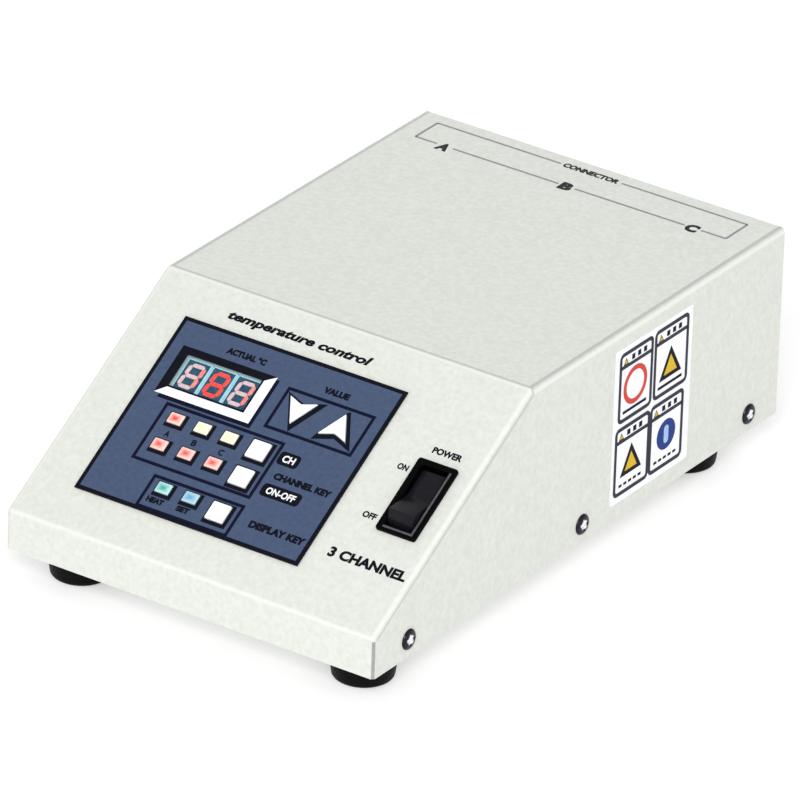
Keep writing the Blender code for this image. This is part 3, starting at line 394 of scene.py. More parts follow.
def rounded(low: tuple[float, float], high: tuple[float, float], radius: float, steps: int = 5) -> np.ndarray:
    """A rectangle whose corners are quarter circles, counter-clockwise.

    Args:
        low: its lowest corner.
        high: its highest corner.
        radius: radius of the corners.
        steps: straight steps in each corner.

    Returns:
        The outline's points.
    """
    turn = np.linspace(0, math.pi / 2, steps + 1)
    arc = np.stack([np.cos(turn), np.sin(turn)], axis=1) * radius
    corners = []
    ends = ((high[0], high[1]), (low[0], high[1]), (low[0], low[1]), (high[0], low[1]))
    for quarter, (x, y) in enumerate(ends):
        angle = quarter * math.pi / 2
        spin = np.array([[math.cos(angle), math.sin(angle)], [-math.sin(angle), math.cos(angle)]])
        inward = (-radius if x == high[0] else radius, -radius if y == high[1] else radius)
        corners.append(arc @ spin + np.array([x, y]) + np.array(inward))
    return np.concatenate(corners)


def disc(centre: tuple[float, float], radius: float, steps: int = 32) -> np.ndarray:
    """A circle as an even counter-clockwise polygon."""
    turn = np.arange(steps) * 2 * math.pi / steps
    return np.stack([centre[0] + radius * np.cos(turn), centre[1] + radius * np.sin(turn)], axis=1)


def at(outline: np.ndarray, height: float) -> np.ndarray:
    """Lift a flat outline to a height above its plane."""
    return np.concatenate([outline, np.full((len(outline), 1), height)], axis=1)


class Shape:
    """Points and faces gathered for one piece, in a plane's own (a, b, n)."""

    def __init__(self, plane: Plane) -> None:
        """Start an empty shape on a plane."""
        self.plane = plane
        self.points: list[np.ndarray] = []
        self.faces: list[tuple[int, ...]] = []
        self.marks: list[np.ndarray] = []
        self.count = 0

    def add(self, points: np.ndarray, faces: list, marks: np.ndarray | None = None) -> None:
        """Add points with faces numbered from the first of them.

        Args:
            points: the points in (a, b, n).
            faces: tuples of point numbers.
            marks: how much of the finish's core and painted shade colours each point takes.
        """
        self.points.append(np.asarray(points, float).reshape(-1, 3))
        self.faces += [tuple(int(i) + self.count for i in face) for face in faces]
        self.marks.append(np.zeros((len(self.points[-1]), 2)) if marks is None else marks)
        self.count += len(self.points[-1])

    def loft(self, rings: list[np.ndarray], closed: bool = False, marks: np.ndarray | None = None) -> None:
        """Skin rings of equal length; the ends are capped, or meet if closed.

        Args:
            rings: counter-clockwise rings from the lowest up, or round a frame.
            closed: whether the last ring joins the first.
            marks: core and painted shade shares of each point, ring by ring.
        """
        size = len(rings[0])
        order = [*rings, rings[0]] if closed else rings
        faces = [list(face) for face in quads(len(order), size, True)]
        total = len(rings) * size
        faces = [[i % total for i in face] for face in faces] if closed else faces
        if not closed:
            faces.append(list(range(size))[::-1])
            faces.append(list(range(total - size, total)))
        self.add(np.concatenate(rings), faces, marks)

    def pad(self, outline: np.ndarray, levels: list[tuple[float, float]]) -> None:
        """Loft one outline through (inset, height) levels."""
        self.loft([at(inset(outline, depth), height) for depth, height in levels])

    def prism(self, outline: np.ndarray, low: float, high: float) -> None:
        """A flat slab of one outline between two heights."""
        self.loft([at(outline, low), at(outline, high)])

    def frame_between(self, outer: np.ndarray, inner: np.ndarray, low: float, high: float) -> None:
        """A flat frame between two outlines with the same number of corners."""
        self.loft([at(outer, low), at(outer, high), at(inner, high), at(inner, low)], closed=True)

    def revolve(self, profile: list[tuple[float, float]], centre: tuple[float, float], steps: int) -> None:
        """Turn (radius, height) points about an upright line through centre."""
        self.loft([at(disc(centre, radius, steps), height) for radius, height in profile])

    def words(self, text: str, centre: tuple[float, float], size: tuple[float, float], low: float,
              slant: float = 0.0, weight: float = 0.0) -> None:
        """Generic lettering, fitted to a width and height and given the ink's thickness.

        Args:
            text: what it says.
            centre: its middle on the plane.
            size: its width and height.
            low: the height that it starts from.
            slant: how far it leans.
            weight: how much its strokes are thickened.
        """
        curve = bpy.data.curves.new("words", "FONT")
        curve.body = text
        curve.extrude = 0.5
        curve.shear = slant
        curve.offset = weight
        curve.resolution_u = 3
        holder = bpy.data.objects.new("words", curve)
        bpy.context.scene.collection.objects.link(holder)
        flat = bpy.data.meshes.new_from_object(holder.evaluated_get(bpy.context.evaluated_depsgraph_get()))
        points = np.zeros(len(flat.vertices) * 3)
        flat.vertices.foreach_get("co", points)
        points = points.reshape(-1, 3)
        faces = [tuple(face.vertices) for face in flat.polygons]
        bpy.data.objects.remove(holder, do_unlink=True)
        bpy.data.meshes.remove(flat)
        lowest, highest = points.min(0), points.max(0)
        points = (points - (lowest + highest) / 2) / (highest - lowest) * np.array([*size, INK_THICK])
        self.add(points + np.array([*centre, low + INK_THICK / 2]), faces)

    def piece(self, name: str, finish: Finish, body: str = "case", slot: Slot | None = None,
              nodes: tuple[str, ...] = (), angle: float = 32.0) -> bpy.types.Object:
        """Place the shape in the world as a finished piece.

        Args:
            name: the piece's name.
            finish: what it is made of.
            body: the CAD body that it rides on.
            slot: the record's slot that its finish comes from; it is not used.
            nodes: the CAD nodes that it stands for.
            angle: edges sharper than this stay crisp.

        Returns:
            The new object.
        """
        world = self.plane.place(np.concatenate(self.points))
        keys, back = np.unique(np.round(world / 1e-7).astype(np.int64), axis=0, return_inverse=True)
        back = back.reshape(-1)
        kept = np.zeros((len(keys), 3))
        kept[back] = world
        faces = []
        for face in self.faces:
            merged = [int(back[i]) for i in face]
            merged = [i for i, before in zip(merged, [merged[-1], *merged[:-1]]) if i != before]
            if len(set(merged)) > 2:
                faces.append(merged)
        mesh = bpy.data.meshes.new(name)
        mesh.from_pydata(kept.tolist(), [], faces)
        mesh.validate()
        mesh.shade_smooth()
        mesh.set_sharp_from_angle(angle=math.radians(angle))
        mesh.materials.append(finish.build())
        marks = np.zeros((len(keys), 2))
        marks[back] = np.concatenate(self.marks)
        # The first column is the core share (a lens's chip colour, a painted highlight on bends and screws),
        # the second the painted shade share.
        for column, used in enumerate((finish.core, finish.crease)):
            if used:
                attribute = mesh.attributes.new(("core", "crease")[column], "FLOAT", "POINT")
                attribute.data.foreach_set("value", marks[:, column].astype(np.float32))
        obj = bpy.data.objects.new(name, mesh)
        bpy.context.scene.collection.objects.link(obj)
        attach(obj, body)
        if nodes:
            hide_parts(*nodes)
        LOG.info("%s: %d faces in %s on %s", name, len(faces), finish.name, body)
        return obj


def eased(low: float, high: float, radius: float, steps: int = 3) -> list[tuple[float, float]]:
    """Levels of a pad whose top edge is a quarter round.

    At a turn t from 0 to 90 degrees the inset is r(1 - cos t) and the height is
    high - r(1 - sin t).

    Args:
        low: height of the pad's foot.
        high: height of its top.
        radius: r, the radius of the round.
        steps: straight steps in the round.

    Returns:
        (inset, height) pairs from the foot up.
    """
    turn = np.linspace(0, math.pi / 2, steps + 1)
    curve = [(radius * (1 - math.cos(t)), high - radius * (1 - math.sin(t))) for t in turn]
    return [(0.0, low), *curve]


# ---------------------------------------------------------------- case
@dataclass
class Cover:
    """The bent cover: lip, slope, top and two sides in one sheet.

    The fields for the bends are shares of a painted highlight line along each bend and of a
    painted shade line beside it.  Those of the side and top run from the flat's last grid lines
    over a side bend and down the side; what isn't listed is zero.  Those of the fold run over the
    bend between slope and top, where the painted highlight rises, is strongest at the bend's start
    and then fades.
    """

    sheet: float = 1.2 * MM
    bend: float = 2.0 * MM
    side_bend: float = 1.7 * MM
    lip_end: float = 0.75 * MM
    side_front: float = 0.7 * MM
    set_back: float = 0.15 * MM
    slit: float = 0.001 * MM
    clear: float = 0.35 * MM
    bezel_lap: float = 2.0 * MM
    bezel_reach: float = 3.0 * MM
    support: float = 0.3 * MM
    support_steps: tuple[int, ...] = (1, 2, 4)
    lip_lines: tuple[float, ...] = (0.0, 4 * MM, 8 * MM)
    top_start: float = 6 * MM
    top_lines: int = 12
    steps: int = 6
    side_lines: tuple[float, ...] = (0.005, 0.01, 0.02, 0.25, 0.5, 0.75, 1.0)
    relief_columns: int = 3
    sharp: float = 28.0
    # Shares of the painted highlight (pale) and painted shade (dull) lines over the bends.
    side_painted_highlight: tuple[float, ...] = (0.0, 0.0, 0.2, 0.5, 0.6, 0.5, 0.2)
    side_painted_shade: tuple[float, ...] = (0.0, 0.0, 0.0, 0.0, 0.0, 0.0, 0.0, 0.2, 0.5, 0.7, 0.7, 0.4)
    top_painted_highlight: tuple[float, ...] = (0.0, 0.0, 0.0, 0.0, 0.0, 0.0, 0.4, 0.8, 1.0, 0.8, 0.4)
    top_painted_shade: tuple[float, ...] = (0.0, 0.7, 0.9, 0.9, 0.6, 0.2)
    lip_painted_highlight: float = 0.6
    fold_rise_painted_highlight: tuple[float, float] = (0.3, 0.6)
    fold_painted_highlight: float = 0.7
    fold_painted_shade: tuple[float, ...] = (0.3, 0.7, 0.9, 0.7, 0.0)
    fold_lap: int = 2

    def openings(self) -> list[tuple[np.ndarray, np.ndarray]]:
        """Low and high (a, b) corners of each hole in the slope.

        A hole is its node's box and the clearance; the switch's bezel laps over its own.
        """
        found = []
        for name in frame["nodes"]:
            if name.endswith("_key") or "_lamp_" in name:
                found.append(SLOPE.box(name, 0.0))
        found.append(SLOPE.box("display_window", 0.0))
        low, high = SLOPE.box("switch_housing", -self.bezel_reach)
        found.append((low + self.bezel_lap, high - self.bezel_lap))
        return [(low[:2] - self.clear, high[:2] + self.clear) for low, high in found]

    def rows(self, cuts: list) -> tuple[np.ndarray, np.ndarray, np.ndarray]:
        """Profile of the sheet from the lip's foot to the rear edge.

        The lip, slope and top are straight; the two bends are arcs of the bend radius, whose
        normal turns evenly from one straight's normal to the next.

        Args:
            cuts: the holes in the slope, whose edges need a row each.

        Returns:
            The (y, z) points, their normals, and each one's distance up the slope from its
            top, which isn't a number for points off the slope.
        """
        slope_angle = math.atan2(SIN, COS)
        radius = self.bend
        front, rear = CASE_LOW[1], CASE_HIGH[1]
        base, top = CASE_LOW[2], CASE_HIGH[2]
        lip_centre = np.array([front + radius, base + LIP_HEIGHT - radius * (1 - SIN) / COS])
        top_centre = np.array([SLOPE_TOP_Y + radius * (1 - COS) / SIN, top - radius])
        up_slope = np.array([COS, SIN])
        corner = np.array([SLOPE_TOP_Y, top])

        def arc(centre: np.ndarray, start: float, end: float) -> tuple[np.ndarray, np.ndarray]:
            """Points and normals of a bend, both ends included."""
            turn = np.linspace(start, end, self.steps + 1)
            normals = np.stack([np.cos(turn), np.sin(turn)], axis=1)
            return centre + radius * normals, normals

        first, first_normals = arc(lip_centre, math.pi, math.pi / 2 + slope_angle)
        second, second_normals = arc(top_centre, math.pi / 2 + slope_angle, math.pi / 2)
        beside = self.support * np.array(self.support_steps)
        lip_z = np.array([*(base + np.array(self.lip_lines)), *(lip_centre[1] - beside[::-1])])
        lip = np.stack([np.full(len(lip_z), front), lip_z], axis=1)
        foot, head = ((point - corner) @ up_slope for point in (first[-1], second[0]))
        lines = [edge[1] for cut in cuts for edge in cut]
        lines = np.unique(np.round([*lines, *(foot + beside), *(head - beside)], 7))
        slope = corner + lines[:, None] * up_slope
        far = np.linspace(top_centre[0] + self.top_start, rear, self.top_lines)
        top_y = np.concatenate([second[-1][0] + beside, far])
        flat = np.stack([top_y, np.full(len(top_y), top)], axis=1)
        points = np.concatenate([lip, first, slope, second, flat])
        normals = np.concatenate([
            np.tile([-1.0, 0.0], (len(lip), 1)),
            first_normals,
            np.tile([-SIN, COS], (len(slope), 1)),
            second_normals,
            np.tile([0.0, 1.0], (len(flat), 1)),
        ])
        along = (points - corner) @ up_slope
        on_slope = np.abs((points - corner) @ np.array([-SIN, COS])) < TINY
        along[~on_slope] = np.nan
        return points, normals, along

    def side(self, sign: int, profile: np.ndarray, normal: np.ndarray) -> tuple[np.ndarray, np.ndarray]:
        """One side bend and side wall for every row of the profile.

        The section is a quarter round of the side bend, from the profile's normal to
        straight outwards, and then a plumb line down to the foot.

        Args:
            sign: which side, 1 or -1 along x.
            profile: the (y, z) points.
            normal: their normals.

        Returns:
            Points and normals, row by row from the flat outwards.
        """
        radius, rows = self.side_bend, len(profile)
        turn = np.linspace(0, math.pi / 2, self.steps + 1)[1:]
        drop = np.array(self.side_lines)
        arc_x = sign * (CASE_HIGH[0] - radius + radius * np.sin(turn))
        arc_yz = profile[:, None, :] - normal[:, None, :] * radius * (1 - np.cos(turn))[None, :, None]
        bent = np.concatenate([np.broadcast_to(arc_x[None, :, None], (rows, len(turn), 1)), arc_yz], axis=2)
        bent_n = np.concatenate([
            np.broadcast_to((sign * np.sin(turn))[None, :, None], (rows, len(turn), 1)),
            normal[:, None, :] * np.cos(turn)[None, :, None],
        ], axis=2)
        start = profile - normal * radius
        wall = np.zeros((rows, len(drop), 3))
        wall[:, :, 0] = sign * CASE_HIGH[0]
        wall[:, :, 1] = start[:, None, 0]
        wall[:, :, 2] = start[:, None, 1] + drop * (CASE_LOW[2] - start[:, None, 1])
        wall_n = np.zeros_like(wall)
        wall_n[:, :, 0] = sign
        return np.concatenate([bent, wall], axis=1), np.concatenate([bent_n, wall_n], axis=1)

    def build(self) -> None:
        """Lay the outer grid, leave the holes out of it and give it the sheet's thickness."""
        cuts = self.openings()
        profile, normal, along = self.rows(cuts)
        flat_end = CASE_HIGH[0] - self.side_bend
        lines = [edge[0] for cut in cuts for edge in cut]
        steps = (0, *self.support_steps)
        lines += [side * (flat_end - step * self.support) for side in (-1, 1) for step in steps]
        lines = np.unique(np.round(lines, 7))
        left, left_n = self.side(-1, profile, normal)
        right, right_n = self.side(1, profile, normal)
        flat = np.zeros((len(profile), len(lines), 3))
        flat[:, :, 0] = lines
        flat[:, :, 1:] = profile[:, None, :]
        flat_n = np.zeros_like(flat)
        flat_n[:, :, 1:] = normal[:, None, :]
        points = np.concatenate([left[:, ::-1], flat, right], axis=1)
        normals = np.concatenate([left_n[:, ::-1], flat_n, right_n], axis=1)
        rows, columns = points.shape[:2]
        cells = quads(rows, columns, False).reshape(rows - 1, columns - 1, 4)
        lip_rows = int(np.sum(normal[:, 0] < TINY - 1)) - 1
        keep = self.kept_cells(normal, along, lines, cuts, lip_rows)
        marks = self.paint_bend_light(normal, len(lines))
        self.shell(points.reshape(-1, 3), normals.reshape(-1, 3), marks, cells[keep], profile, lip_rows)

    def kept_cells(self, normal: np.ndarray, along: np.ndarray, lines: np.ndarray, cuts: list,
                   lip_rows: int) -> np.ndarray:
        """Which cells of the grid are sheet.

        Left out are the lip's corners, a relief notch where the top bend meets each side, and
        every cell whose middle lies in a hole of the slope.

        Args:
            normal: the profile's normals.
            along: each row's distance up the slope.
            lines: x of the columns across the flat.
            cuts: the holes in the slope.
            lip_rows: how many rows of cells the lip has.

        Returns:
            True for the cells that stay.
        """
        sides = self.steps + len(self.side_lines)
        columns = len(lines) + 2 * sides
        keep = np.ones((len(normal) - 1, columns - 1), bool)
        keep[:lip_rows, :sides] = False
        keep[:lip_rows, -sides:] = False
        folded = np.flatnonzero((normal[:, 1] > COS + TINY) & (normal[:, 1] < 1 - TINY))
        relief = slice(folded[1], folded[-1])
        notch = columns - sides + 1
        keep[relief, notch:notch + self.relief_columns] = False
        keep[relief, columns - 1 - notch - self.relief_columns:columns - 1 - notch] = False
        middle_b = (along[:-1] + along[1:]) / 2
        middle_a = np.full(columns - 1, np.inf)
        middle_a[sides:sides + len(lines) - 1] = (lines[:-1] + lines[1:]) / 2
        for low, high in cuts:
            inside_b = (middle_b > low[1]) & (middle_b < high[1])
            inside_a = (middle_a > low[0]) & (middle_a < high[0])
            keep[np.ix_(inside_b, inside_a)] = False
        return keep

    def paint_bend_light(self, normal: np.ndarray, flats: int) -> np.ndarray:
        """Core and painted shade shares over the grid: a painted highlight along each bend, a painted shade
        line just beside it.

        Each bend has a short list of shares for the lines that cross it, so a share runs
        linearly from line to line.  The lip's bend has its painted highlight as half a sine; the top
        bend's painted highlight rises from the slope and fades over it, and the painted shade line lies
        on the top.  Both are held across the flat and a few lines into the side bends.

        Args:
            normal: the profile's normals.
            flats: columns across the flat.

        Returns:
            One (core, painted shade) pair for each point.
        """
        rows, upward = len(normal), normal[:, 1]
        beyond = len(self.support_steps) + 1
        width = beyond + self.steps + len(self.side_lines)

        def filled(shares: tuple[float, ...]) -> np.ndarray:
            """The shares with zeros up to the whole width of an edge."""
            return np.pad(shares, (0, width - len(shares)))

        lip = np.flatnonzero((upward > TINY) & (upward < COS - TINY))
        top = np.flatnonzero((upward > COS + TINY) & (upward < 1 - TINY))
        # pale is the painted highlight and dull the painted shade, row by row.
        pale, dull = np.zeros(rows), np.zeros(rows)
        pale[lip] = self.lip_painted_highlight * np.sin(np.linspace(0, math.pi, len(lip) + 2))[1:-1]
        fading = np.linspace(self.fold_painted_highlight, 0.0, len(top))
        pale[top[0] - len(self.fold_rise_painted_highlight):top[-1] + 1] = [*self.fold_rise_painted_highlight, *fading]
        dull[top[-1]:top[-1] + len(self.fold_painted_shade)] = self.fold_painted_shade
        marks = []
        for fold, on_side, on_top in (
            (pale, self.side_painted_highlight, self.top_painted_highlight),
            (dull, self.side_painted_shade, self.top_painted_shade),
        ):
            edge = np.tile(filled(on_side), (rows, 1))
            edge[upward > 1 - TINY] = filled(on_top)
            edge[upward < TINY] = 0.0
            middle = np.tile(fold[:, None], (1, flats - 2 * beyond))
            grid = np.concatenate([edge[:, ::-1], middle, edge], axis=1)
            from_middle = np.abs(np.arange(grid.shape[1]) - (grid.shape[1] - 1) / 2)
            held = fold[:, None] * (from_middle <= flats / 2 + self.fold_lap)
            marks.append(np.maximum(grid, held).ravel())
        return np.stack(marks, axis=1)

    def strips(self, lip_z: np.ndarray) -> list:
        """The short ends of the lip and of the sides, which stop short of each front corner.

        A slit far too thin to see keeps each strip's points apart from the cover's.

        Args:
            lip_z: heights of the lip's rows.

        Returns:
            (points, normals, faces) of each strip.
        """
        wall_y = CASE_LOW[1] + self.side_bend
        flat_end = CASE_HIGH[0] - self.side_bend
        found = []
        for sign in (-1, 1):
            strip = np.zeros((len(lip_z), 2, 3))
            near, far = (0, 1)[::sign]
            strip[:, near, 0] = sign * (flat_end + self.slit)
            strip[:, far, 0] = sign * (flat_end + self.lip_end)
            strip[:, :, 1] = CASE_LOW[1]
            strip[:, :, 2] = lip_z[:, None]
            away = np.tile([0.0, -1.0, 0.0], (strip.size // 3, 1))
            found.append((strip.reshape(-1, 3), away, quads(len(lip_z), 2, False)))
            strip = np.zeros((2, 5, 3))
            strip[:, :, 0] = sign * CASE_HIGH[0]
            near, far = (wall_y - self.side_front, wall_y - self.slit)[::sign]
            strip[0, :, 1], strip[1, :, 1] = far, near
            strip[:, :, 2] = np.linspace(CASE_LOW[2], lip_z[-1] - self.slit, 5)
            away = np.tile([float(sign), 0.0, 0.0], (strip.size // 3, 1))
            found.append((strip.reshape(-1, 3), away, quads(2, 5, False)))
        return found

    def shell(self, outer: np.ndarray, outward: np.ndarray, marks: np.ndarray, faces: np.ndarray,
              profile: np.ndarray, lip_rows: int) -> None:
        """Close the sheet: an inner skin one thickness in, and a rim along every open edge.

        Args:
            outer: the grid's points.
            outward: their normals.
            marks: their core and crease shares.
            faces: the cells that are sheet.
            profile: the (y, z) points of the profile.
            lip_rows: how many rows of cells the lip has.
        """
        lip_z = profile[:lip_rows + 1, 1]
        blocks = [(outer, outward, faces, marks)]
        blocks += [(*strip, np.zeros((len(strip[0]), 2))) for strip in self.strips(lip_z)]
        shape = Shape(flat_ground())
        for points, away, cells, shares in blocks:
            inner = points - away * self.sheet
            total = len(points)
            edges = np.stack([cells, np.roll(cells, -1, axis=1)], axis=2).reshape(-1, 2)
            known = {tuple(edge) for edge in edges.tolist()}
            rim = [(j, i, i + total, j + total) for i, j in known if (j, i) not in known]
            inside = (cells[:, ::-1] + total).tolist()
            skins = np.concatenate([shares, 0 * shares])
            shape.add(np.concatenate([points, inner]), [*cells.tolist(), *inside, *sorted(rim)], skins)
        shape.piece("cover_sheet", ENAMEL, slot=Slot.COVER, nodes=("cover",), angle=self.sharp)
        self.corner_gaps(CASE_LOW[2], lip_z[-1])

    def corner_gaps(self, base: float, top: float) -> None:
        """A dull slab set back in each front corner, where the cut ends of lip and side meet: painted shade
        for the gap between them.
        """
        plan = Shape(flat_ground())
        half, front = CASE_HIGH[0], CASE_LOW[1]
        near = np.array([half - self.side_bend + self.lip_end, front + self.set_back])
        far = np.array([half - self.set_back, front + self.side_bend - self.side_front])
        outline = np.array([near, far, far + (-self.sheet, 0.0), near + (0.0, self.sheet)])
        for sign in (1, -1):
            corners = outline * (sign, 1)
            plan.prism(corners[::sign], base, top)
        plan.piece("corner_gaps", CORNER_PAINTED_SHADE, slot=Slot.COVER)


@dataclass(frozen=True)
class Word:
    """A generic word of a print: its middle, width and height in millimetres, and its strokes."""

    text: str
    centre: tuple[float, float]
    size: tuple[float, float]
    weight: float
    slant: float = 0.0

    def ink(self, shape: Shape, low: float = 0.0) -> None:
        """Add the word to a shape, from the height low up."""
        centre, size = np.array(self.centre) * MM, np.array(self.size) * MM
        shape.words(self.text, tuple(centre), tuple(size), low, self.slant, self.weight)


@dataclass
class CasePrint:
    """What is printed on the cover: a box with letters at the rear and words on the slope."""

    line: float = 0.95 * MM
    box_x: tuple[float, float] = (-65.4 * MM, 63.4 * MM)
    box_y: tuple[float, float] = (223.6 * MM, 237.2 * MM)
    letter_gap: float = 3.4 * MM
    letters: tuple[Word, ...] = (
        Word("A", (-53.0, 222.7), (5.0, 5.6), 0.07),
        Word("B", (-2.1, 223.3), (5.0, 5.6), 0.07),
        Word("C", (49.9, 223.1), (5.0, 5.6), 0.07),
    )
    heading_x: tuple[float, float] = (-12.4 * MM, 10.5 * MM)
    heading_tall: float = 3.2 * MM
    heading_gap: float = 1.2 * MM
    slope_print: tuple[Word, ...] = (
        Word("temperature control", (-13.6, -10.4), (58.5, 4.5), 0.045, 0.25),
        Word("POWER", (60.3, -32.9), (11.7, 2.6), 0.05),
        Word("ON", (48.2, -42.6), (4.2, 2.5), 0.045),
        Word("OFF", (47.4, -63.4), (5.4, 2.5), 0.045),
        Word("3 CHANNEL", (57.0, -80.4), (31.0, 4.0), 0.05),
    )

    def build(self) -> None:
        """Print the top and the slope."""
        self.top()
        self.slope_words()

    def top(self) -> None:
        """A thin grey box near the rear edge with one letter for each socket below it.

        Its near line is broken round the letters and its far one round the heading.
        """
        (low_x, high_x), (near, far), half = self.box_x, self.box_y, self.line / 2
        lines = Shape(TOP)
        breaks = [word.centre[0] * MM + side * self.letter_gap for word in self.letters for side in (-1, 1)]
        stops = [low_x, *breaks, high_x]
        for start, end in zip(stops[::2], stops[1::2]):
            lines.prism(rectangle((start, near - half), (end, near + half)), 0.0, INK_THICK)
        first, last = self.heading_x
        for start, end in ((low_x, first - self.heading_gap), (last + self.heading_gap, high_x)):
            lines.prism(rectangle((start, far - half), (end, far + half)), 0.0, INK_THICK)
        for x in self.box_x:
            lines.prism(rectangle((x - half, near), (x + half, far)), 0.0, INK_THICK)
        lines.piece("top_print_box", INK_GREY)
        ink = Shape(TOP)
        for word in self.letters:
            word.ink(ink)
        ink.words("CONNECTOR", ((first + last) / 2, far), (last - first, self.heading_tall), 0.0, weight=0.06)
        ink.piece("top_print_letters", INK_BLACK)

    def slope_words(self) -> None:
        """The title over the film, the words round the switch and a plain word below it."""
        ink = Shape(SLOPE)
        for word in self.slope_print:
            word.ink(ink)
        ink.piece("slope_print_words", INK_BLACK)


@dataclass
class Sticker:
    """The white sticker on the right side, with four plain cards.

    Numbers without MM are millimetres along the side and up it.  A card has a header line
    with a small triangle and three blocks over it, a simple shape, and a bar or a row of
    dashes at its foot.
    """

    thick: float = 0.12 * MM
    sheet: tuple[float, ...] = (139.3, 6.0, 186.4, 64.6)
    sheet_corner: float = 0.9 * MM
    cards: tuple[tuple[float, ...], ...] = (
        (141.8, 36.0, 162.4, 62.7),
        (163.1, 36.4, 184.2, 62.9),
        (140.8, 8.3, 162.2, 34.5),
        (162.1, 8.3, 182.8, 34.7),
    )
    card_corner: float = 2.4 * MM
    card_line: float = 1.5 * MM
    header_drop: float = 6.3 * MM
    header_line: float = 1.4 * MM
    header_in: float = 1.2 * MM
    mark: tuple[float, float] = (3.9 * MM, 2.7 * MM)
    mark_size: float = 3.0 * MM
    mark_line: float = 0.3 * MM
    block_start: float = 7.4
    block_pitch: float = 3.6
    block_wide: float = 1.9 * MM
    block_rise: tuple[float, float] = (1.9 * MM, 3.9 * MM)
    foot_rise: float = 3.1 * MM
    bar_in: tuple[float, float] = (3.0 * MM, 3.4 * MM)
    bar_tall: float = 1.1 * MM
    dash_start: float = 3.4
    dash_pitch: float = 2.9
    dash: tuple[float, float] = (1.9 * MM, 1.0 * MM)
    ring_place: tuple[float, float] = (151.9 * MM, 48.2 * MM)
    ring_radius: float = 7.2 * MM
    ring_line: float = 1.9 * MM
    triangles: tuple[tuple[float, float, float], ...] = ((173.5, 48.2, 13.6), (151.2, 20.6, 13.0))
    triangle_line: float = 1.6 * MM
    triangle_rise: float = 0.43
    disc_place: tuple[float, float] = (172.6 * MM, 20.6 * MM)
    disc_radius: float = 5.7 * MM
    pill: tuple[float, ...] = (171.2, 17.2, 174.0, 24.0)
    pill_corner: float = 1.3 * MM
    round_steps: int = 40

    def build(self) -> None:
        """Lay the sheet, the four cards and the shape in each of them."""
        self.high = self.thick + INK_THICK
        y0, z0, y1, z1 = np.array(self.sheet) * MM
        sheet = Shape(RIGHT)
        sheet.prism(rounded((y0, z0), (y1, z1), self.sheet_corner), 0.0, self.thick)
        sheet.piece("side_sticker", VINYL)
        frames, bars, edges = Shape(RIGHT), Shape(RIGHT), Shape(RIGHT)
        yellow, red, blue, sky = Shape(RIGHT), Shape(RIGHT), Shape(RIGHT), Shape(RIGHT)
        for number, card in enumerate(self.cards):
            low, high = np.array(card[:2]) * MM, np.array(card[2:]) * MM
            outer = rounded(low, high, self.card_corner)
            frames.frame_between(outer, inset(outer, self.card_line), self.thick, self.high)
            header = high[1] - self.header_drop
            ends = (low[0] + self.header_in, header), (high[0] - self.header_in, header + self.header_line)
            self.patch(frames, *ends)
            corner = (low[0] + self.mark[0], header + self.mark[1])
            self.triangle(yellow, edges, corner, self.mark_size, self.mark_line)
            self.bars(bars, low, high, header, number >= 2)
        ring = disc(self.ring_place, self.ring_radius, self.round_steps)
        red.frame_between(ring, inset(ring, self.ring_line), self.thick, self.high)
        red.piece("sticker_red_ring", INK_RED)
        for y, z, size in self.triangles:
            self.triangle(yellow, edges, (y * MM, z * MM), size * MM, self.triangle_line)
        blue.prism(disc(self.disc_place, self.disc_radius, self.round_steps), self.thick, self.high)
        y0, z0, y1, z1 = np.array(self.pill) * MM
        sky.prism(rounded((y0, z0), (y1, z1), self.pill_corner), self.high, self.high + INK_THICK)
        blue.piece("sticker_blue_disc", INK_BLUE)
        sky.piece("sticker_blue_pill", INK_SKY)
        frames.piece("sticker_card_frames", INK_SLATE)
        bars.piece("sticker_bars", INK_NAVY)
        yellow.piece("sticker_triangles", INK_YELLOW)
        edges.piece("sticker_triangle_edges", INK_BLACK)

    def patch(self, shape: Shape, low: tuple[float, float], high: tuple[float, float]) -> None:
        """A rectangle of ink on the sticker."""
        shape.prism(rectangle(low, high), self.thick, self.high)

    def bars(self, shape: Shape, low: np.ndarray, high: np.ndarray, header: float, dashed: bool) -> None:
        """The blocks over a card's header and the bar or dashes at its foot.

        Args:
            shape: what they are added to.
            low: the card's lowest corner.
            high: its highest corner.
            header: height of its header line.
            dashed: dashes instead of a bar.
        """
        for index in range(3):
            start = low[0] + (self.block_start + self.block_pitch * index) * MM
            foot, head = (header + rise for rise in self.block_rise)
            self.patch(shape, (start, foot), (start + self.block_wide, head))
        foot = low[1] + self.foot_rise
        if not dashed:
            end = (high[0] - self.bar_in[1], foot + self.bar_tall)
            self.patch(shape, (low[0] + self.bar_in[0], foot), end)
            return
        for index in range(5):
            start = low[0] + (self.dash_start + self.dash_pitch * index) * MM
            self.patch(shape, (start, foot), (start + self.dash[0], foot + self.dash[1]))

    def triangle(self, fill: Shape, edge: Shape, centre: tuple[float, float], size: float,
                 line: float) -> None:
        """An upright plain triangle with an outline.

        Args:
            fill: the shape that takes the middle.
            edge: the shape that takes the outline.
            centre: its middle on the side.
            size: its width.
            line: the outline's width.
        """
        half, rise = size / 2, size * self.triangle_rise
        outer = np.array([(-half, -rise), (half, -rise), (0.0, rise)]) + np.array(centre)
        inner = inset(outer, line)
        edge.frame_between(outer, inner, self.thick, self.high)
        fill.prism(inner, self.thick, self.high)


